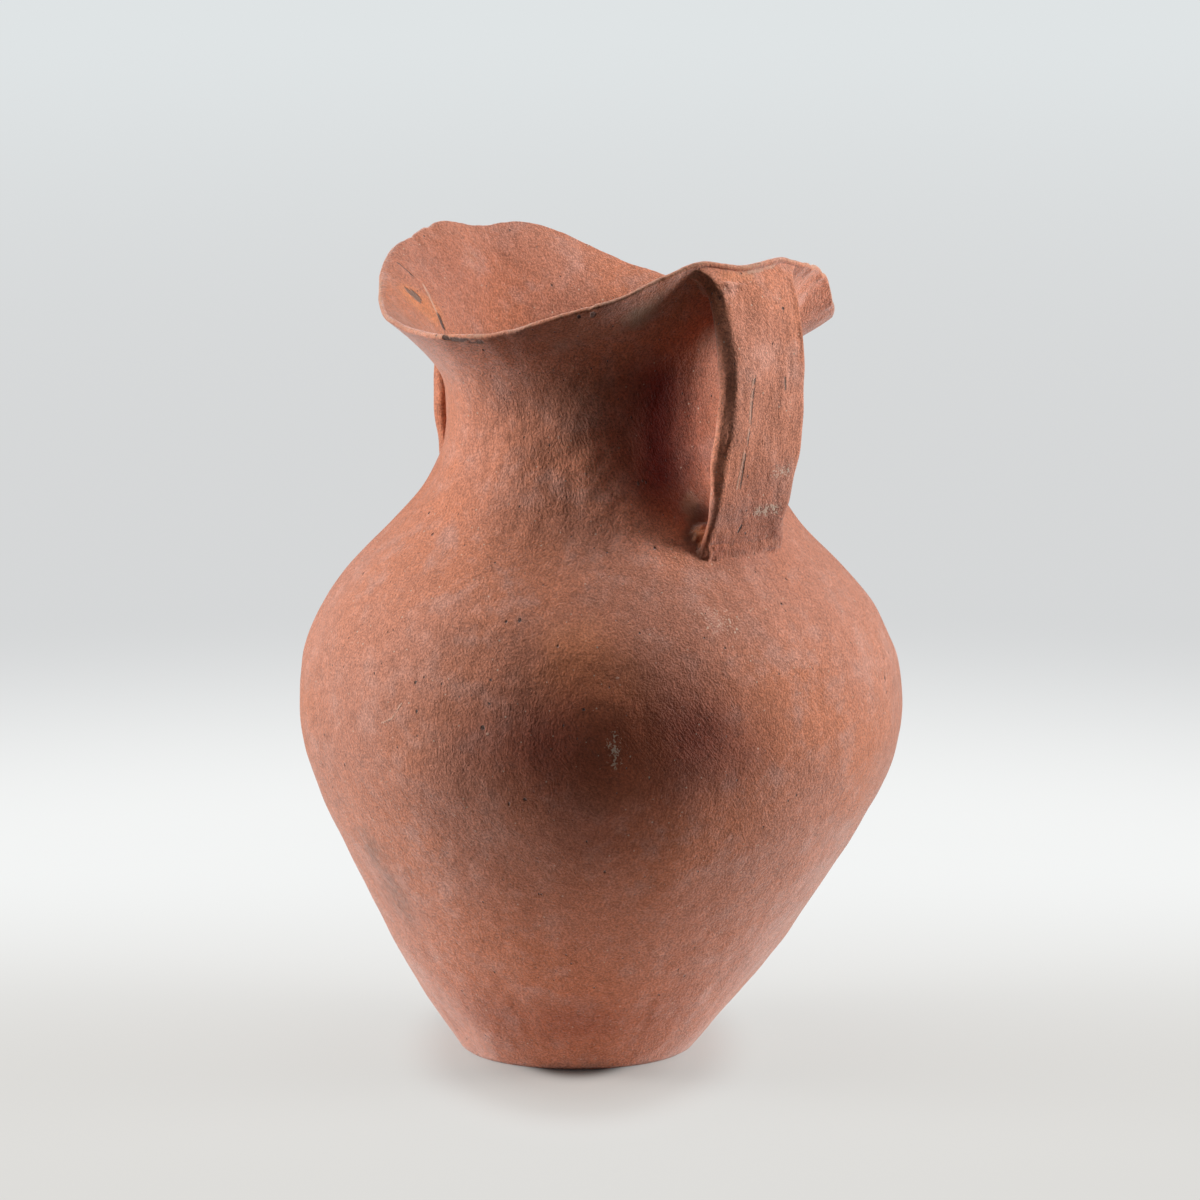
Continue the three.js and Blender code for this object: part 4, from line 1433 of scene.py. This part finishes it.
@dataclass
class Handle:
    """A strap of clay from the lip to the shoulder, with the clay that lutes it on."""

    side: Side
    form: WallForm
    finish: ClayFinish
    luting: ClayFinish
    material: bpy.types.Material
    luting_material: bpy.types.Material
    left_half: float = 0.0193
    right_half: float = 0.0187
    left_arch: float = 0.0130
    right_arch: float = 0.008
    left_waist: float = 0.0013
    right_swell: float = 0.0016
    right_foot_flare: float = 0.0050
    left_foot_waist: float = 0.0032
    right_foot_waist: float = 0.0020
    foot_thinning: float = 0.0040
    bevel: float = 0.0032
    thickness: float = 0.0072
    top_over: float = 0.0002
    corner: float = 0.0026
    lip_lap: float = 0.0025
    wad_below_lip: float = 0.0040
    finger_gap: float = 0.0258
    bow_rise: float = 0.020
    top_sweep: float = 0.0145
    foot_drop: float = 0.0405
    foot_sweep: float = 0.021
    root: float = 0.009
    run_on: float = 0.012
    pace: float = 0.0007
    sunk: float = 0.00025
    bedded: float = 0.0014
    fillet: float = 0.009
    table_pace: float = 0.0005
    table_margin: float = 0.03
    wall_low: Zone = (0.03, 0.15)
    wall_high: Zone = (0.13, 0.33)
    wall_steps: int = 400
    arch_limit: float = 0.985
    round_zone: Zone = (0.35, 0.95)
    flare_zone: Zone = (0.006, 0.020)
    low_zone: Zone = (0.014, 0.050)
    waist_rise: float = 0.014
    waist_reach: float = 0.014
    swell_zone: Zone = (0.030, 0.055)
    top_share: float = 0.42
    thick_zone: Zone = (-0.002, 0.016)
    wing_thinning: float = 0.7
    corner_limit: float = 0.8
    bevel_share: float = 0.35
    bevel_zone: Zone = (0.012, 0.045)
    bevel_ease: float = 0.0008
    ridge_inset: float = 0.0020
    ridge_reach: float = 0.0011
    ridge_height: float = 0.0005
    ridge_start: Zone = (0.002, 0.01)
    ridge_end: Zone = (0.025, 0.045)
    lump_height: float = 0.00030
    streak_height: float = 0.00005
    fillet_share: float = 0.22
    fillet_start: Zone = (-0.3, 0.3)
    fillet_end: Zone = (0.72, 1.0)
    fillet_loss: float = 0.85
    fillet_limit: float = 1.6
    lip_ease: float = 0.0015
    wad_taper: float = 0.45
    wad_scale: float = 1.6
    wad_lumps: float = 0.00025
    wad_crumbs: float = 0.00020
    wad_blend: float = 0.003
    search_low: Place = (0.006, 0.034, 0.020)
    search_high: Place = (0.099, 0.034, 0.006)
    wad_room: float = 0.006
    batches: int = 40
    dust_reach: float = 0.004
    dust_most: float = 0.35
    probe: float = 0.0002
    least_slope: float = 0.25
    lumps: Waves = Waves(11, 0.018)
    streaks: Waves = Waves(12, 0.0035, (1.0, 1.0, 7.0), 24)
    crumbs: Waves = Waves(13, 0.0034, count=24)

    @property
    def site(self) -> HandleSite:
        """Where the handle stands."""
        return SITES[self.side]

    @cached_property
    def line(self) -> Array:
        """The line down the strap's middle as (radius, height), run on straight past both ends."""
        form = self.form
        out = form.neck_radius + self.finger_gap + self.thickness / 2.0
        crest = form.lip_height + self.site.rise
        foot_height = form.neck_height - self.foot_drop
        foot = np.array([form.section_radius(foot_height), foot_height])
        bend = np.array([out, foot_height + self.foot_sweep])
        toward = (foot - bend) / np.linalg.norm(foot - bend)
        root = foot + toward * self.root
        bow = (out, form.neck_height + self.bow_rise)
        upper = bezier([(form.lip_radius - self.lip_lap, crest), (out, crest - self.top_sweep), bow], 60)
        lower = bezier([bow, tuple(bend), tuple(root)], 80)[1:]
        middle = np.concatenate([upper, lower])
        above = middle[0] - (middle[1] - middle[0]) / np.linalg.norm(middle[1] - middle[0]) * self.run_on
        below = root + toward * self.run_on
        return np.concatenate([above[None], middle, below[None]])

    @cached_property
    def strap_table(self) -> Table:
        """Length along the strap and distance out of its middle, in the handle's plane."""
        low = self.line.min(axis=0) - self.table_margin
        high = self.line.max(axis=0) + self.table_margin
        return Table(low, high, self.table_pace,
                     lambda points: beside_line(points, self.line) * (1.0, -1.0))

    @cached_property
    def wall_table(self) -> Table:
        """Distance out of the wall's outer line, carried straight on above the lip."""
        lengths = np.linspace(0.0, self.form.seams[-1] + self.table_margin, self.wall_steps)
        radius, height = self.form.section(lengths, False)
        line = np.column_stack([radius, height])
        low, high = np.array(self.wall_low), np.array(self.wall_high)
        return Table(low, high, self.table_pace, lambda points: beside_line(points, line)[:, 1:])

    def azimuth_of(self, points: Array) -> Array:
        """The jar's azimuths at points in the handle's own frame."""
        return np.degrees(np.arctan2(points[:, 1], points[:, 0])) + self.site.azimuth

    def wall_gap(self, points: Array) -> Array:
        """Distances from the wall's outside, below zero inside it."""
        x, y, z = points.T
        azimuth = self.azimuth_of(points)
        height = self.form.lower_saddle(azimuth, z)
        gap = self.wall_table.at(np.hypot(x, y), height)[:, 0]
        return gap - self.form.uneven(azimuth, height)

    def arch(self, below: Array, radius: float) -> Array:
        """How far the strap spreads on one side at a depth below the lip's edge."""
        short = np.clip(radius - below, 0.0, self.arch_limit * radius)
        return radius - np.sqrt(radius * radius - short * short)

    def strap_gap(self, points: Array) -> Array:
        """Distances from the strap's own surface, below zero inside it."""
        x, y, z = points.T
        azimuth = self.azimuth_of(points)
        share = self.form.share_up(azimuth, z)
        below = (1.0 - share) * (self.form.mouth_rise + self.form.lip_rise(azimuth))
        round_x = x + (np.hypot(x, y) - x) * smoothstep(share, *self.round_zone)
        length, out = self.strap_table.at(round_x, z).T
        total = self.strap_table.values[..., 0].max()
        from_top = length - self.run_on
        to_root = total - self.run_on - length
        near_foot = 1.0 - smoothstep(to_root, *self.flare_zone)
        low_down = 1.0 - smoothstep(to_root, *self.low_zone)
        left = self.left_half + self.arch(below, self.left_arch)
        waist = (z - self.form.neck_height - self.waist_rise) / self.waist_reach
        left = left - self.left_waist * np.exp(-waist ** 2)
        left = left - self.left_foot_waist * low_down
        right = self.right_half + self.arch(below, self.right_arch) + self.right_foot_flare * near_foot
        right = right + self.right_swell * smoothstep(from_top, *self.swell_zone)
        right = right - self.right_foot_waist * low_down
        full = smoothstep(from_top, *self.thick_zone)
        half_thick = self.thickness / 2.0 * (self.top_share + (1.0 - self.top_share) * full)
        wing = smoothstep(-y, self.left_half, self.left_half + self.left_arch)
        half_thick = half_thick * (1.0 - self.wing_thinning * wing)
        half_thick = half_thick - self.foot_thinning / 2.0 * low_down
        out = out - self.foot_thinning / 2.0 * low_down
        corner = np.minimum(self.corner, half_thick * self.corner_limit)
        across = np.abs(y - (right - left) / 2.0) - (right + left) / 2.0 + corner
        deep = np.abs(out) - half_thick + corner
        gap = np.hypot(np.maximum(across, 0.0), np.maximum(deep, 0.0)) - corner
        gap = gap + np.minimum(np.maximum(across, deep), 0.0)
        full = smoothstep(to_root, *self.bevel_zone)
        bevel = self.bevel * (self.bevel_share + (1.0 - self.bevel_share) * full)
        slant = (out - half_thick - y - left + bevel) / math.sqrt(2.0)
        gap = cut_soft(gap, slant, self.bevel_ease)
        ridge = np.exp(-((y - right + self.ridge_inset) / self.ridge_reach) ** 2) * (out > 0.0)
        ridge = ridge * (1.0 - smoothstep(from_top, *self.ridge_end))
        ridge = ridge * smoothstep(from_top, *self.ridge_start)
        gap = gap - self.ridge_height * ridge - self.lump_height * self.lumps.at(points)
        return gap - self.streak_height * self.streaks.at(points)

    def strap_field(self, points: Array) -> Array:
        """The strap with its fillets against the wall, trimmed to lie on it."""
        wall = self.wall_gap(points)
        strap = self.strap_gap(points)
        share = self.form.share_up(self.azimuth_of(points), points[:, 2])
        full = smoothstep(share, *self.fillet_start)
        reach = self.fillet * (self.fillet_share + (1.0 - self.fillet_share) * full)
        reach = reach * (1.0 - self.fillet_loss * smoothstep(share, *self.fillet_end))
        body = join_soft(strap, wall + self.sunk, reach)
        body = np.maximum(body, -(wall + self.bedded))
        body = np.maximum(body, strap - self.fillet_limit * self.fillet)
        return cut_soft(body, self.over_lip(points) - self.top_over, self.lip_ease)

    def over_lip(self, points: Array) -> Array:
        """How far points lie above the lip's edge."""
        azimuth = self.azimuth_of(points)
        climb = self.form.mouth_rise + self.form.lip_rise(azimuth)
        return (self.form.share_up(azimuth, points[:, 2]) - 1.0) * climb

    def luting_field(self, points: Array, low: Array, high: Array, radius: float) -> Array:
        """A lump of luting clay along a line, pressed against the strap and the wall.

        Args:
            points: Points in the handle's own frame.
            low: One end of the lump's middle line.
            high: The other end.
            radius: The lump's radius.

        Returns:
            Signed distances.
        """
        along = high - low
        share = np.clip((points - low) @ along / (along @ along), 0.0, 1.0)
        lump = np.linalg.norm(points - low - share[:, None] * along, axis=1)
        lump = lump - radius * (1.0 - self.wad_taper * share)
        lump = lump - self.wad_lumps * self.lumps.at(points * self.wad_scale)
        lump = lump - self.wad_crumbs * self.crumbs.at(points)
        wall = self.wall_gap(points)
        strap = self.strap_gap(points)
        body = join_soft(lump, wall + self.sunk, self.wad_blend)
        body = join_soft(body, strap + self.sunk, self.wad_blend)
        body = np.maximum(body, lump - self.wad_blend)
        body = np.maximum(body, -(wall + self.bedded))
        body = np.maximum(body, -(strap + self.bedded))
        return cut_soft(body, self.over_lip(points) + self.wad_below_lip, self.lip_ease)

    def corner_at(self, face: StrapFace, end: StrapEnd) -> Array:
        """Where a face of the strap meets the wall near one of its ends."""
        line = self.line[1:-1]
        middle = len(line) // 2
        order = range(middle, -1, -1) if end is StrapEnd.TOP else range(middle, len(line) - 1)
        place = line[middle]
        for number in order:
            along = line[min(number + 1, len(line) - 1)] - line[max(number - 1, 0)]
            along = along / np.linalg.norm(along)
            place = line[number] + np.array([-along[1], along[0]]) * face.value * self.thickness / 2.0
            if self.wall_gap(np.array([[place[0], 0.0, place[1]]]))[0] < 0.0:
                break
        return np.array([place[0], 0.0, place[1]])

    def build(self) -> None:
        """Makes the strap, its two wads and the roll under its foot."""
        name = f"{self.side.value}_handle_"
        form = self.form
        inward, low_side, below = self.search_low
        out, high_side, above = self.search_high
        low = np.array([form.neck_radius - inward, -low_side, form.neck_height - self.foot_drop - below])
        high = np.array([out, high_side, form.lip_height + self.site.rise + above])
        self.make(name + "strap", low, high, self.strap_field, self.finish, self.material)
        across = np.array([0.0, 1.0, 0.0])
        for wad in WADS:
            corner = self.corner_at(wad.face, wad.end)
            ends = corner + across * wad.start, corner + across * wad.stop
            room = wad.radius + self.wad_room
            shape = partial(self.luting_field, low=ends[0], high=ends[1], radius=wad.radius)
            self.make(name + wad.part, np.minimum(*ends) - room, np.maximum(*ends) + room, shape,
                      self.luting, self.luting_material)

    def make(self, node: str, low: Array, high: Array, shape: Callable[[Array], Array],
             finish: ClayFinish, material: bpy.types.Material) -> None:
        """Wraps a field in a mesh, sets it in its place and makes the piece.

        Args:
            node: The piece's node.
            low: Lowest corner of the space that is searched, in the handle's own frame.
            high: Highest corner.
            shape: The field.
            finish: The piece's finish.
            material: The finish's material.
        """
        sizes = np.ceil((high - low) / self.pace).astype(int) + 1
        axes = [low[axis] + self.pace * np.arange(sizes[axis]) for axis in range(3)]
        grid = np.stack(np.meshgrid(*axes, indexing="ij"), axis=-1).reshape(-1, 3)
        values = np.concatenate([shape(part) for part in np.array_split(grid, self.batches)])
        points, faces = wrap_field(values.reshape(sizes), low, self.pace)
        points, faces = main_body(points, faces)
        points = self.hug(points, shape)
        wall = self.wall_gap(points)
        strap = self.strap_gap(points)
        near = np.exp(-np.maximum(wall, 0.0) / self.dust_reach) * (strap < self.dust_reach)
        wear = {WearAndLight.DUST: self.dust_most * near * (points[:, 1] < 0.0)}
        turn = math.radians(self.site.azimuth)
        x, y, z = points.T
        placed = np.column_stack([
            x * math.cos(turn) - y * math.sin(turn),
            x * math.sin(turn) + y * math.cos(turn),
            z,
        ])
        Piece(node, finish.slot, self.form.settle(placed), faces.tolist(), None, wear).make(material)

    def hug(self, points: Array, shape: Callable[[Array], Array]) -> Array:
        """Moves points onto the true surface of a field."""
        step = self.probe
        for _ in range(2):
            value = shape(points)
            slope = np.stack([(shape(points + step * way) - shape(points - step * way)) / (2.0 * step)
                              for way in np.eye(3)], axis=1)
            steep = np.maximum((slope * slope).sum(axis=1), self.least_slope)
            move = slope * (value / steep)[:, None]
            far = np.linalg.norm(move, axis=1, keepdims=True)
            points = points - move * np.minimum(1.0, 0.5 * self.pace / np.maximum(far, 1e-9))
        return points


@dataclass
class Studio:
    """The floor, the soft lamps and the camera."""

    view_turn: float = 49.0
    aside: float = 0.0087
    aim_height: float = 0.1663
    camera_away: float = 2.2221
    camera_height: float = 0.513
    field_of_view: float = 11.15
    floor_radius: float = 14.0
    lamp_away: float = 1.2
    left_watts: float = 24.5
    right_watts: float = 22.5
    side_size: tuple[float, float] = (0.45, 0.9)
    side_height: float = 0.58
    left_turn: float = 90.0
    right_turn: float = 89.0
    top_watts: float = 6.7
    top_height: float = 1.4
    top_size: float = 0.8
    lamp_aim: float = 0.15
    shadow_squeeze: float = 2.3
    bounce_near: Colour = (0.86, 0.78, 0.73)
    bounce_far: Colour = (0.04, 0.04, 0.04)
    bounce_zone: Zone = (0.26, 0.15)
    painted_contact_shadow: Colour = (0.12, 0.10, 0.09)
    painted_contact_zone: Zone = (0.044, 0.068)
    painted_shadow_paper: Colour = (0.42, 0.385, 0.36)
    painted_shadow_zone: Zone = (0.085, 0.150)
    open_paper: Colour = (0.62, 0.61, 0.60)
    back_glow: Colour = (0.90, 0.91, 0.905)
    front_glow: Colour = (0.725, 0.718, 0.695)
    front_zone: Zone = (-0.33, 0.06)
    middle_glow: Colour = (0.67, 0.68, 0.685)
    middle_zone: Zone = (0.45, 1.05)
    distance: Colour = (0.74, 0.775, 0.785)
    distance_zone: Zone = (1.2, 6.0)
    least_glow: float = 0.02
    glow_steps: tuple[tuple[float, float, float], ...] = (
        (0.30, 0.045, 0.060),
        (0.20, 0.060, 0.100),
        (0.36, 0.100, 0.160),
    )
    wide_glow: float = 0.12
    wide_zone: Zone = (0.14, 0.40)
    floor_turn: int = 5

    @property
    def toward_camera(self) -> Vector:
        """Level direction from the jar to the camera."""
        turn = math.radians(self.view_turn)
        return Vector((math.sin(turn), -math.cos(turn), 0.0))

    @property
    def rightward(self) -> Vector:
        """Level direction to the right in the picture."""
        turn = math.radians(self.view_turn)
        return Vector((math.cos(turn), math.sin(turn), 0.0))

    def build(self) -> None:
        """Makes the whole studio."""
        scene = bpy.context.scene
        scene.view_settings.view_transform = "Standard"
        self.make_camera()
        self.make_floor()
        self.make_world()
        sides = (
            ("left_lamp", -self.left_turn, self.left_watts),
            ("right_lamp", self.right_turn, self.right_watts),
        )
        for name, degrees, watts in sides:
            turn = math.radians(degrees)
            way = self.toward_camera * math.cos(turn) + self.rightward * math.sin(turn)
            place = way * self.lamp_away + Vector((0.0, 0.0, self.side_height))
            self.make_lamp(name, place, watts, self.side_size)
        above = Vector((0.0, 0.0, self.top_height))
        self.make_lamp("top_lamp", above, self.top_watts, (self.top_size, self.top_size))

    def make_camera(self) -> None:
        """Sets the camera at the photograph's viewing angle."""
        data = bpy.data.cameras.new("camera")
        data.sensor_width = 36.0
        data.lens = data.sensor_width / 2.0 / math.tan(math.radians(self.field_of_view) / 2.0)
        camera = bpy.data.objects.new("camera", data)
        bpy.context.scene.collection.objects.link(camera)
        target = self.rightward * self.aside + Vector((0.0, 0.0, self.aim_height))
        camera.location = self.rightward * self.aside + self.toward_camera * self.camera_away
        camera.location.z = self.camera_height
        camera.rotation_euler = (target - camera.location).to_track_quat("-Z", "Y").to_euler()
        bpy.context.scene.camera = camera

    def make_lamp(self, name: str, place: Vector, watts: float, size: tuple[float, float]) -> None:
        """Hangs a soft lamp that faces the jar.

        Args:
            name: The lamp's name.
            place: Where it hangs.
            watts: Its power.
            size: Its width and height.
        """
        data = bpy.data.lights.new(name, "AREA")
        data.shape = "RECTANGLE"
        data.size, data.size_y = size
        data.energy = watts
        lamp = bpy.data.objects.new(name, data)
        bpy.context.scene.collection.objects.link(lamp)
        lamp.location = place
        aim = Vector((0.0, 0.0, self.lamp_aim))
        lamp.rotation_euler = (aim - place).to_track_quat("-Z", "Y").to_euler()
        lamp.visible_camera = False

    def seen(self, bench: Bench) -> Socket:
        """1 for what the camera sees, directly or in gloss or glass."""
        path = bench.add("ShaderNodeLightPath", {}, {}, output="Is Camera Ray")
        outputs = path.output.node.outputs
        glossy = Socket(bench, outputs["Is Glossy Ray"])
        clear = Socket(bench, outputs["Is Transmission Ray"])
        return path.larger(glossy).larger(clear)

    def make_floor(self) -> None:
        """Lays a wide pale floor that keeps the jar's shadow, with a painted shadow darkening the paper
        round the jar's foot, and pales into the distance.
        """
        material = bpy.data.materials.new("pale_floor")
        material.use_nodes = True
        bench = Bench(material.node_tree)
        place = bench.add("ShaderNodeTexCoord", {}, {}, output="Object")
        away = bench.length(place)
        front = bench.vector("DOT_PRODUCT", place, tuple(self.toward_camera), "Value")
        aside = bench.vector("DOT_PRODUCT", place, tuple(self.rightward * self.shadow_squeeze), "Value")
        near = bench.length(bench.add("ShaderNodeCombineXYZ", {}, {0: aside, 1: front}))
        seen = self.seen(bench)
        bounce = bench.blend(away.rise(*self.bounce_zone), self.bounce_far, self.bounce_near)
        # Painted shadow: the paper seen round the jar's foot is darker, darkest where it touches.
        shown = bench.blend(near.rise(*self.painted_shadow_zone), self.painted_shadow_paper, self.open_paper)
        shown = bench.blend(near.rise(*self.painted_contact_zone), self.painted_contact_shadow, shown)
        diffuse = bench.add("ShaderNodeBsdfDiffuse", {}, {"Color": bench.blend(seen, bounce, shown)})
        tone = bench.blend(front.rise(*self.front_zone), self.back_glow, self.front_glow)
        tone = bench.blend(away.rise(*self.middle_zone), tone, self.middle_glow)
        tone = bench.blend(away.rise(*self.distance_zone), tone, self.distance)
        glow = bench.add("ShaderNodeEmission", {}, {"Color": tone})
        share = self.least_glow + self.wide_glow * away.rise(*self.wide_zone)
        for gain, low, high in self.glow_steps:
            share = share + gain * near.rise(low, high)
        mix = bench.add("ShaderNodeMixShader", {}, {0: seen * share, 1: diffuse, 2: glow})
        bench.add("ShaderNodeOutputMaterial", {}, {"Surface": mix})
        mesh = bpy.data.meshes.new("floor")
        turns = np.radians(np.arange(0, 360, self.floor_turn))
        points = [(self.floor_radius * math.cos(t), self.floor_radius * math.sin(t), 0.0) for t in turns]
        mesh.from_pydata(points, [], [tuple(range(len(points)))])
        mesh.materials.append(material)
        floor = bpy.data.objects.new("floor", mesh)
        bpy.context.scene.collection.objects.link(floor)

    def make_world(self) -> None:
        """Makes the distance look pale, while the air itself lights nothing."""
        world = bpy.data.worlds.new("studio_air")
        bpy.context.scene.world = world
        world.use_nodes = True
        bench = Bench(world.node_tree)
        tone = bench.blend(self.seen(bench), (0.0, 0.0, 0.0), self.distance)
        air = bench.add("ShaderNodeBackground", {}, {"Color": tone})
        bench.add("ShaderNodeOutputWorld", {}, {"Surface": air})


def main() -> None:
    """Builds the jar piece by piece, then the studio round it."""
    logging.basicConfig(level=logging.INFO, format="%(message)s")
    form = WallForm()
    clay = ClayFinish("fired_clay", "fired_clay")
    luting = ClayFinish("luting_clay", "luting_clay", roughened=1.6)
    clay_material = clay.material()
    luting_material = luting.material()
    Vessel(form, clay, clay_material).build()
    finishes = (clay, luting, clay_material, luting_material)
    Handle(Side.RIGHT, form, *finishes).build()
    Handle(Side.LEFT, form, *finishes, right_half=0.0150, top_over=-0.0006).build()
    Studio().build()


if __name__ == "__main__":
    main()
